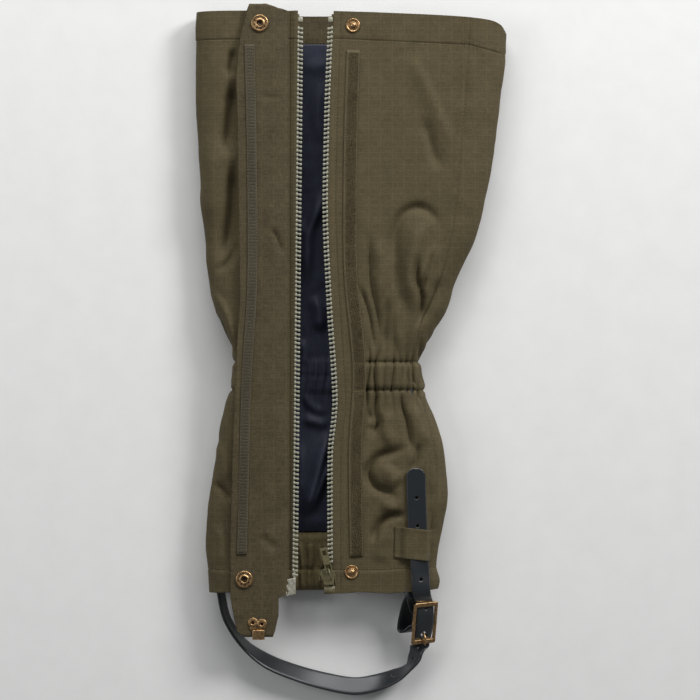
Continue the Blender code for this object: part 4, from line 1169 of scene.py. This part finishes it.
def build_zip():
    for label, side, centre, shape in (("left", 1, left_chain, left_shape), ("right", -1, right_chain, right_shape)):
        body = f"{label}_front"
        teeth = Mesh()
        add_chain(teeth, side, centre, CHAIN_FOOT - (3 * TOOTH_PITCH if side > 0 else 0))
        y = CHAIN_TOP + 2.7
        x = float(centre(y))
        place(teeth.make(f"{label}_teeth", TEETH), body, "zip_teeth", f"{label}_zip_teeth")
        stop = Mesh()
        block(stop, (x - 1.9, y - 2.0, CHAIN_Z - 1.3), (x + 1.9, y + 2.0, CHAIN_Z + 1.4), 0.5)
        place(stop.make(f"{label}_top_stop", TEETH), body, "zip_teeth", f"{label}_zip_top_stop")
        ys = np.linspace(HEM + 4, TOP - 2, 160)
        cord = Mesh()
        path = np.c_[centre(ys) - side * 1.5, ys, np.full(len(ys), CHAIN_Z)]
        sweep(cord, path, 0.75, 8)
        edge = centre(ys)
        near, far = edge - side * 1.4, edge - side * 9.0
        low, high = (far, near) if side > 0 else (near, far)
        s = spread(7, 0.05)[None, :]
        x = low[:, None] + (high - low)[:, None] * s
        y = ys[:, None] + 0 * x
        add_layer(cord, x, y, 26.62 + np.minimum(shape(x, y), 0) * 0.9, 0.5)
        place(cord.make(f"{label}_tape", TAPE), body, "zip_tape", f"{label}_zip_tape")
    pin = Mesh()
    x = float(left_chain(-175))
    sweep(pin, [(x - 0.6, y, CHAIN_Z) for y in np.linspace(-190.0, -170.0, 12)], [0.8] + [1.15] * 11, 12)
    place(pin.make("left_pin", TEETH), "left_front", "zip_teeth", "left_zip_pin")
    film = Mesh()
    xs = np.linspace(-50.6, -43.9, 12)[None, :]
    ys = np.linspace(-190.8, -177.5, 18)[:, None]
    x = xs + (ys + 190.8) * 0.1
    y = ys + 0 * x + 1.4 * (xs + 50.6) / 6.7 + 0.5 * np.sin(xs * 2.2) * ease((-186 - ys) / 4)
    z = 28.5 + 0.2 * np.sin(x * 1.6 + y) + 0.5 * ease((-49.2 - x) / 1.5)
    add_cloth(film, np.stack([x, y, z], axis=2), 0.35)
    place(film.make("left_tape_end", FILM), "left_front", "zip_tape")
    box = Mesh()
    block(box, (-20.8, -189.0, 25.0), (-12.2, -182.6, 29.3), 0.6)
    block(box, (-19.4, -187.8, 29.1), (-13.6, -183.8, 29.7), 0.35)
    place(box.make("retainer_box", PAINT), "right_front", "zip_teeth", "zip_retainer_box")


def rounded(half_x, half_y, radius, count):
    """Outline of a rectangle with round corners."""
    points = []
    for quarter, (sx, sy) in enumerate(((1, 1), (-1, 1), (-1, -1), (1, -1))):
        for k in range(count + 1):
            a = math.pi / 2 * (quarter + k / count)
            corner = (sx * (half_x - radius), sy * (half_y - radius))
            points.append((corner[0] + radius * math.cos(a), corner[1] + radius * math.sin(a)))
    return points


def build_slider():
    body = Mesh()
    outline = [(-24.2, -173.4), (-23.4, -171.0), (-21.3, -169.7), (-18.2, -169.3), (-14.8, -169.7), (-12.7, -171.4),
               (-12.2, -174.2), (-12.9, -178.4), (-13.2, -181.8), (-20.6, -181.8), (-21.6, -178.4)]
    plate(body, outline, 29.2, 30.7, 0.35)
    plate(body, outline, 23.5, 25.0, 0.35)
    block(body, (-23.6, -178.5, 24.6), (-20.6, -172.2, 29.6), 0.5)
    for low, high in ((27.9, 30.2), (24.0, 26.0)):
        block(body, (-24.9, -178.6, low), (-24.2, -172.8, high), 0.25)
        block(body, (-12.3, -180.8, low), (-11.6, -173.6, high), 0.25)
    turn = Matrix.Rotation(math.radians(15), 3, "Z")
    at = (-16.6, -171.4, 32.4)
    plate_place = Matrix.Translation(at) @ turn.to_4x4()
    arch = [(4.4 * math.cos(a) - 1.8, 3.8 * math.sin(a) - 2.2) for a in np.linspace(0, math.pi, 15)]
    sweep(body, [plate_place @ Vector((0, y, z)) for y, z in arch], 0.6, 12)
    place(body.make("slider", PAINT, False), "zip_slider", "painted_metal", "slider_body")
    tab = Mesh()
    for x0, y0, x1, y1 in (
        (-2.75, -0.5, -1.85, 6.6), (1.85, -0.5, 2.75, 6.6), (-2.75, 5.8, 2.75, 13.2),
        (-2.75, 13.1, -1.55, 17.3), (1.55, 13.1, 2.75, 17.3), (-2.75, 17.0, 2.75, 19.2),
    ):
        block(tab, (x0, y0, -0.6), (x1, y1, 0.6), 0.2, turn, at)
    sweep(tab, [plate_place @ Vector((x, 0, 0)) for x in (-2.2, 2.2)], 0.4, 12)
    place(tab.make("pull", PAINT, False), "pull_tab", "painted_metal", "pull_tab")


# ---------------------------------------------------------------- snaps and lace hook
def build_snaps():
    for label, x, y in (("top", 1.8, 253.2), ("bottom", 0.7, -171.8)):
        base = 28.45
        stud = Mesh()
        lathe(stud, ((0, 3.0), (0.8, 2.95), (1.6, 2.6), (2.2, 2.05), (2.45, 1.4), (2.25, 0.75), (2.4, 0.4), (3.0, 0.3),
                     (3.7, 0.45), (4.4, 1.0), (5.0, 1.2), (5.4, 0.9), (5.6, 0.4), (5.6, 0), (1.4, 0), (1.4, -3.2),
                     (0, -3.2)), (x, y, base))
        place(stud.make(f"{label}_stud", BRONZE), "right_front", "bronze", f"{label}_snap_stud")
        keep(f"{label}_stud_washer", BRONZE)
    for label, x, y in (("top", -70.6, 254.5), ("bottom", -82.6, -177.2)):
        base = float(flap_top(x, y)) + 0.05
        socket = Mesh()
        lathe(socket, ((0, 0.2), (2.0, 0.2), (2.15, 1.0), (2.4, 1.6), (2.9, 1.8), (3.4, 1.5), (3.7, 1.1), (5.2, 1.2),
                       (5.9, 1.55), (6.5, 1.3), (6.8, 0.7), (6.8, 0.1), (6.5, 0), (0, -0.4)), (x, y, base))
        place(socket.make(f"{label}_socket", BRONZE), "storm_flap", "bronze", f"{label}_snap_socket")
        # Painted shade: a dark dish in the socket's middle and dark dots round it stand for the shade in its holes.
        holes = Mesh()
        lathe(holes, ((0, 0.35), (1.4, 0.4), (2.02, 0.9), (2.05, 0.2)), (x, y, base))
        for k in range(8):
            a = 2 * math.pi * k / 8 + 0.2
            spot = (x + 4.5 * math.cos(a), y + 4.5 * math.sin(a), base + 1.12)
            lathe(holes, ((0, 0.12), (0.5, 0.14), (0.66, 0.1), (0.66, -0.3)), spot, 12)
        place(holes.make(f"{label}_socket_hole_shade", HOLE_SHADE_METAL), "storm_flap", "bronze")
        keep(f"{label}_snap_cap", BRONZE)
    hook = Mesh()
    under, lip = 29.6, 33.1
    bend = (lip - under) / 2
    rows = [(y, under, half) for y, half in ((-205.5, 7.0), (-207.0, 7.6), (-214.0, 7.6), (-217.5, 6.0), (-221.9, 5.0))]
    for a in np.radians(np.arange(15, 180, 15)):
        rows.append((-221.9 - bend * 1.1 * math.sin(a), (under + lip) / 2 - bend * math.cos(a), 4.7))
    rows += [(-221.9, lip, 4.6), (-219.0, lip + 0.1, 4.6), (-217.1, lip + 0.1, 4.6), (-216.6, lip, 4.3)]
    s = spread(9, 0.06)
    grid = np.array([[(-71.6 + half * (1 - 2 * t), y, z) for t in s] for y, z, half in rows])
    add_cloth(hook, grid, 0.9)
    neck = [(-214.6, 6.6), (-216.4, 5.4), (-218.2, 4.2)]
    outline = [(-72.4 - half, y) for y, half in neck] + [(-72.4 + half, y) for y, half in neck[::-1]]
    top = float(flap_top(-72.4, -216))
    plate(hook, outline, top, top + 0.35, 0.1)
    place(hook.make("hook_plate", BRONZE), "storm_flap", "bronze", "lace_hook")
    for label, x, y in (("left", -76.4, -210.9), ("right", -69.5, -211.8)):
        base = float(flap_top(x, y))
        rivet = Mesh()
        lathe(rivet, ((1.15, -0.5), (1.25, 0.7), (1.6, 1.1), (2.3, 1.15), (3.0, 0.75), (3.6, 0.8), (3.95, 0.45),
                      (4.0, -0.2), (1.4, -0.3), (1.4, -3.0), (1.1, -3.0), (1.15, -0.5)), (x + 0.5, y, base), 36)
        place(rivet.make(f"rivet_{label}", BRONZE), "storm_flap", "bronze", f"lace_hook_rivet_{label}")
        # Painted shade: a dark plug fills the rivet's bore, standing for the shadow in it.
        bore = Mesh()
        lathe(bore, ((0, 0.1), (1.3, 0.1), (1.3, -0.6), (0, -0.6)), (x + 0.5, y, base), 20)
        place(bore.make(f"rivet_bore_shade_{label}", HOLE_SHADE_METAL), "storm_flap", "bronze")


# ---------------------------------------------------------------- strap and buckle
TAIL_ROUTE = ((55.0, -188.0), (54.0, -172), (52.4, -150), (51.8, -134), (51.0, -112), (50.6, -91))
LOOP_ROUTE = (
    (52.3, -233.2, 11.0, -8, 42), (49.7, -241, 9.8, -20, 54), (45.3, -248.2, 8.8, -42, 74),
    (35.3, -254.6, 7.6, -62, 54), (20, -260.5, 6.0, -77, 36), (3, -263.2, 5.7, -90, 31),
    (-20, -259.2, 6.6, -103, 35), (-43.5, -252.4, 7.3, -108, 43), (-66.1, -243, 7.6, -120, 51),
    (-84.4, -229, 8.0, -138, 71), (-96.8, -210, 10.0, -160, 74), (-101.6, -189.4, 13.2, -174, 74),
    (-103.2, -178, 14, -180, 86), (-103.6, -168, 14, -180, 88),
)
BUCKLE = (
    Matrix.Translation((53.8, -210.2, 12.0))
    @ Matrix.Rotation(math.radians(-4), 4, "Z")
    @ Matrix.Rotation(math.radians(14), 4, "X")
    @ Matrix.Rotation(math.radians(28), 4, "Y")
)
BAR_Z = 4.2


def from_buckle(y, z):
    """A strap station on the buckle's long axis, from its own y and z."""
    across = (BUCKLE.to_3x3() @ Vector((1, 0, 0))).normalized()
    heading = math.degrees(math.atan2(across.y, across.x))
    return (*(BUCKLE @ Vector((0, y, z))), heading, math.degrees(math.asin(across.z)))


def rest(x, y):
    """Height and tilt of the strap where it lies across the right cloth."""
    offsets = STRAP_WIDTH / 2 * np.arange(-3, 4) / 3
    heights = right_top(x + offsets, y + 0 * offsets)
    slope = (heights[-1] - heights[0]) / STRAP_WIDTH
    lean = math.atan(slope)
    return float(np.max(heights - offsets * slope)) + (STRAP_THICK / 2 + 0.15) / math.cos(lean), math.degrees(lean)


def strap_stations(stations, count):
    stations = np.array(stations, float)
    steps = distances(stations[:, :3])
    columns = smooth(np.linspace(0, steps[-1], count), steps, stations.T)
    heading, tilt = np.radians(columns[3]), np.radians(columns[4])
    floor = STRAP_WIDTH / 2 * np.abs(np.sin(tilt)) + STRAP_THICK / 2 * np.cos(tilt) + 0.2
    centres = np.stack([columns[0], columns[1], np.maximum(columns[2], floor)], axis=1)
    across = np.stack([np.cos(heading) * np.cos(tilt), np.sin(heading) * np.cos(tilt), np.sin(tilt)], axis=1)
    return centres, across


def punch(obj, cutters):
    """Cuts shapes out of an object; each cutter is a Mesh."""
    made = [cutter.make(f"cutter_{k}", obj.data.materials[0], False) for k, cutter in enumerate(cutters)]
    for cutter in made:
        boolean = obj.modifiers.new("cut", "BOOLEAN")
        boolean.operation, boolean.object, boolean.solver = "DIFFERENCE", cutter, "EXACT"
    bpy.context.view_layer.update()
    cut = bpy.data.meshes.new_from_object(obj.evaluated_get(bpy.context.evaluated_depsgraph_get()))
    obj.modifiers.clear()
    obj.data = cut
    for cutter in made:
        bpy.data.objects.remove(cutter, do_unlink=True)
    return obj


def hole_cutter(centres, across, middle, radius):
    k = int(np.argmin(np.linalg.norm(centres - np.array(middle), axis=1)))
    along = centres[min(k + 1, len(centres) - 1)] - centres[max(k - 1, 0)]
    normal = Vector(np.cross(along, across[k])).normalized()
    turn = np.array(normal.to_track_quat("Z", "Y").to_matrix())
    cutter = Mesh()
    lathe(cutter, ((0, 4), (radius, 4), (radius, -4), (0, -4)), centres[k], 20, turn)
    return cutter


def build_strap():
    stations = []
    for x, y in TAIL_ROUTE[::-1]:
        z, lean = rest(x, y)
        stations.append((x, y, z, 0, lean))
    stations += [from_buckle(14.9, 6.1), from_buckle(7, 8.0), from_buckle(0, 8.8), from_buckle(-7, 8.0)]
    stations += [from_buckle(-14.9, 6.0), from_buckle(-18.5, 5.2), *LOOP_ROUTE]
    centres, across = strap_stations(stations, 340)
    mesh = Mesh()
    ribbon(mesh, centres, across, STRAP_WIDTH, STRAP_THICK, 0.8, columns=9)
    obj = mesh.make("strap", STRAP)
    spots = [(54.4, -177.7, 28), (51.9, -135.5, 28), (51.1, -114.5, 28), (49.5, -241, 9.8), (33, -254.8, 7.4)]
    holes = [(spot, 1.35) for spot in spots] + [(from_buckle(-9.4, 7.4)[:3], 2.5), (from_buckle(12, 7.2)[:3], 1.35)]
    cutters = [hole_cutter(centres, across, spot, radius) for spot, radius in holes]
    tip = Mesh()
    end, side = centres[0], STRAP_WIDTH / 2
    outline = [(side * math.cos(a), -7.0 + 7.2 * math.sin(a)) for a in np.linspace(0, math.pi, 25)]
    outline = [(side + 3, -7.0)] + outline + [(-side - 3, -7.0), (-side - 3, 6), (side + 3, 6)]
    plate(tip, outline, -9, 9, 0, Matrix.Translation(Vector(end)))
    punch(obj, cutters + [tip])
    place(obj, STRAP_BEND, "strap", "strap_tail", "instep_strap", "strap_anchor")
    build_short_strap()


def build_short_strap():
    """The short strap: down from inside the hem, round the buckle's bar in a slack loop, and back up."""
    route = [(21.6, 4.6, -8.6), (15, 2.6, -6), (9, 1.9, -3), (4.5, 4.2, -0.5)]
    route += [(2.5 * math.cos(a), BAR_Z + 2.5 * math.sin(a), 0) for a in np.radians((55, 90, 125, 160))]
    route += [(-3.6, 2.2, -2.6), (-7.2, 0.2, -5.6), (-10.2, -2.6, -7.6), (-9.6, -5.2, -8.6), (-5, -6.0, -8.8),
              (4, -4.4, -8.8), (12, -2.0, -8.8), (18, 0.2, -8.6), (21.6, 2.4, -8.6)]
    points = [tuple(BUCKLE @ Vector((shift, y, z))) for y, z, shift in route]
    tilt = BUCKLE.to_3x3() @ Vector((1, 0, 0))
    flat = Vector((1, 0, 0.05))
    centres = [(49.2, -165.0, 23.3), (48.2, -177.0, 23.3), *points, (48.2, -177.0, 21.3), (49.2, -165.0, 21.3)]
    across = [flat, flat] + [tilt] * len(points) + [flat, flat]
    steps = distances(centres)
    at = np.linspace(0, steps[-1], 130)
    line = np.stack(smooth(at, steps, zip(*centres)), axis=1)
    sides = np.stack(smooth(at, steps, zip(*across)), axis=1)
    sides /= np.linalg.norm(sides, axis=1, keepdims=True)
    mesh = Mesh()
    ribbon(mesh, line, sides, 14.6, 1.3, 0.5)
    obj = mesh.make("short_strap", STRAP)
    slot = Mesh()
    turn = np.array(BUCKLE.to_3x3())
    block(slot, (-1.9, -4.5, 0.0), (1.9, 2.2, 9.0), 0.1, turn, tuple(BUCKLE.to_translation()))
    punch(obj, [slot])
    place(obj, STRAP_BEND, "strap", "buckle_strap", "buckle_strap_anchor")


def build_buckle():
    """A flat ring with square edges, a centre bar let down under the strap, and a tongue."""
    ring = Mesh()
    loops = []
    for z, outer, inset in ((7.6, 1, 0.3), (7.9, 1, 0), (9.1, 1, 0), (9.5, 1, 0.35), (9.5, 0, -0.35), (9.1, 0, 0),
                            (7.9, 0, 0), (7.6, 0, -0.3)):
        half_x, half_y, corner = (10.5, 17.0, 1.8) if outer else (8.1, 13.5, 1.0)
        outline = rounded(half_x - inset, half_y - inset, corner, 7)
        loops.append([(x, y, z - 0.5 * (1 - (y / 17) ** 2)) for x, y in outline])
    ring.add([BUCKLE @ Vector(p) for loop in loops for p in loop], ring_faces(len(loops), len(loops[0]), False))
    place(ring.make("buckle_ring", BRONZE, False), "instep_strap", "bronze", "buckle_frame")
    bar = Mesh()
    drop = [(-10.6, 8.2), (-9.4, 8.0), (-8.7, 6.4), (-8.2, 4.8), (-7.2, 4.2), (0, 4.2), (7.2, 4.2), (8.2, 4.8),
            (8.7, 6.4), (9.4, 8.0), (10.6, 8.2)]
    sweep(bar, [BUCKLE @ Vector((x, 0, z)) for x, z in drop], 1.15, 14, up=tuple(BUCKLE.to_3x3() @ Vector((0, 1, 0))))
    place(bar.make("centre_bar", BRONZE), "instep_strap", "bronze", "buckle_bar")
    tongue = Mesh()
    profile = [(2.2 * math.cos(a), 2.2 * math.sin(a)) for a in np.radians(range(140, -171, -20))]
    profile += [(-4.8, -0.2), (-7.4, 1.0), (-8.9, 2.9), (-9.7, 5.0), (-11.2, 6.9), (-13.2, 7.4), (-15.6, 7.35),
                (-17.2, 6.9)]
    steps = distances(profile)
    at = np.linspace(0, steps[-1], 46)
    ys, zs = smooth(at, steps, zip(*profile))
    path = [tuple(BUCKLE @ Vector((0, y, BAR_Z + z))) for y, z in zip(ys, zs)]
    sweep(tongue, path, np.interp(at / steps[-1], (0, 0.4, 0.85, 1), (0.75, 0.85, 1.15, 0.9)), 10, flatten=0.8,
          up=tuple(BUCKLE.to_3x3() @ Vector((1, 0, 0))))
    place(tongue.make("tongue", BRONZE), "buckle_tongue", "bronze", "buckle_tongue")


def build_keeper():
    """A band of shell cloth over the strap's tail, its edges turned in and its ends sewn down."""
    ys = spread(22, 0.03)
    xs = spread(52, 0.02)
    grid = np.zeros((len(ys), len(xs), 3))
    for j, t in enumerate(ys):
        left, right = 34.0 + 0.5 * t, 62.3 + 1.3 * t
        low, high = -160.4 - 3.2 * xs, -136.2 - 3.3 * xs
        y = low + (high - low) * t
        x = left + (right - left) * xs
        middle = np.interp(-y, [-row[1] for row in TAIL_ROUTE], [row[0] for row in TAIL_ROUTE])
        z_rest, lean = rest(float(middle.mean()), float(y.mean()))
        over = z_rest + STRAP_THICK / 2 + 0.75 + (x - middle) * math.tan(math.radians(lean))
        ground = right_top(x, y) + 0.55
        near = ease((x - (middle - 12.5)) / 5.5) * ease((middle + 10.6 - x) / 3.0)
        z = ground * (1 - near) + np.maximum(over, ground) * near
        z += 0.12 * noise(x, y, 6, 51) * near + 0.25 * (ease((0.12 - t) / 0.04) + ease((t - 0.88) / 0.04))
        grid[j] = np.stack([x, y, z], axis=1)
    mesh = Mesh()
    add_cloth(mesh, grid, 1.0, grid * (1, 1, 0))
    obj = place(mesh.make("keeper", OLIVE), "sleeve", "olive_fabric", "strap_keeper")
    rows = Mesh()
    top = grid[..., 2]

    def surface(x, y):
        j = np.argmin(np.abs(grid[:, len(xs) // 2, 1][None, :] - np.atleast_1d(y)[:, None]), axis=1)
        i = np.argmin(np.abs(grid[10, :, 0][None, :] - np.atleast_1d(x)[:, None]), axis=1)
        return top[j, i] + 0.55

    for x0, y0, x1, y1 in ((35.8, -160.0, 35.9, -137.0), (38.0, -160.4, 38.1, -137.3), (61.4, -162.9, 62.0, -140.0)):
        stitches(rows, [(x0, y0), (x1, y1)], surface, 2.0, 1.5)
    place(rows.make("keeper_stitches", THREAD), "sleeve", "olive_fabric")


build_cloth()
build_linings()
build_flap()
build_hook_tape()
build_loop_tape()
build_stitches()
build_zip()
build_slider()
build_snaps()
build_strap()
build_buckle()
build_keeper()


# ---------------------------------------------------------------- studio
CAMERA_AT, LENS = (-0.0006, 0.0008, 2.296), 150  # straight above, far off with a long lens as in the photo
FLOOR, FLOOR_Z = 3000, -0.4


def build_floor():
    mesh = Mesh()
    corners = ((-FLOOR, -FLOOR), (FLOOR, -FLOOR), (FLOOR, FLOOR), (-FLOOR, FLOOR))
    mesh.add([(x, y, FLOOR_Z) for x, y in corners], [(0, 1, 2, 3)])
    mesh.make("floor", plastic_look("pale floor", (0.72, 0.72, 0.71), 0.7, 0.02, 40))


def area_light(name, place_at, size, power):
    light = bpy.data.lights.new(name, "AREA")
    light.shape, light.energy = "RECTANGLE", power
    light.size, light.size_y = size
    obj = bpy.data.objects.new(name, light)
    bpy.context.scene.collection.objects.link(obj)
    obj.location = place_at
    obj.rotation_euler = (-Vector(place_at)).to_track_quat("-Z", "Y").to_euler()


def build_studio():
    build_floor()
    world = bpy.data.worlds.new("studio")
    bpy.context.scene.world = world
    world.use_nodes = True
    sky = world.node_tree.nodes["Background"].inputs
    sky["Color"].default_value = (0.95, 0.97, 1.0, 1)
    sky["Strength"].default_value = 0.17
    area_light("key", (1.7, 1.5, 1.4), (0.8, 0.8), 53)
    area_light("top", (0, 1.45, 0.82), (1.3, 0.6), 20)
    area_light("fill", (-1.6, 0.3, 1.2), (1.0, 1.0), 10)
    camera = bpy.data.cameras.new("camera")
    camera.lens, camera.sensor_width = LENS, 36
    camera.clip_start, camera.clip_end = 0.05, 20
    obj = bpy.data.objects.new("camera", camera)
    bpy.context.scene.collection.objects.link(obj)
    obj.location = CAMERA_AT
    bpy.context.scene.camera = obj
    bpy.context.scene.view_settings.view_transform = "Standard"


build_studio()
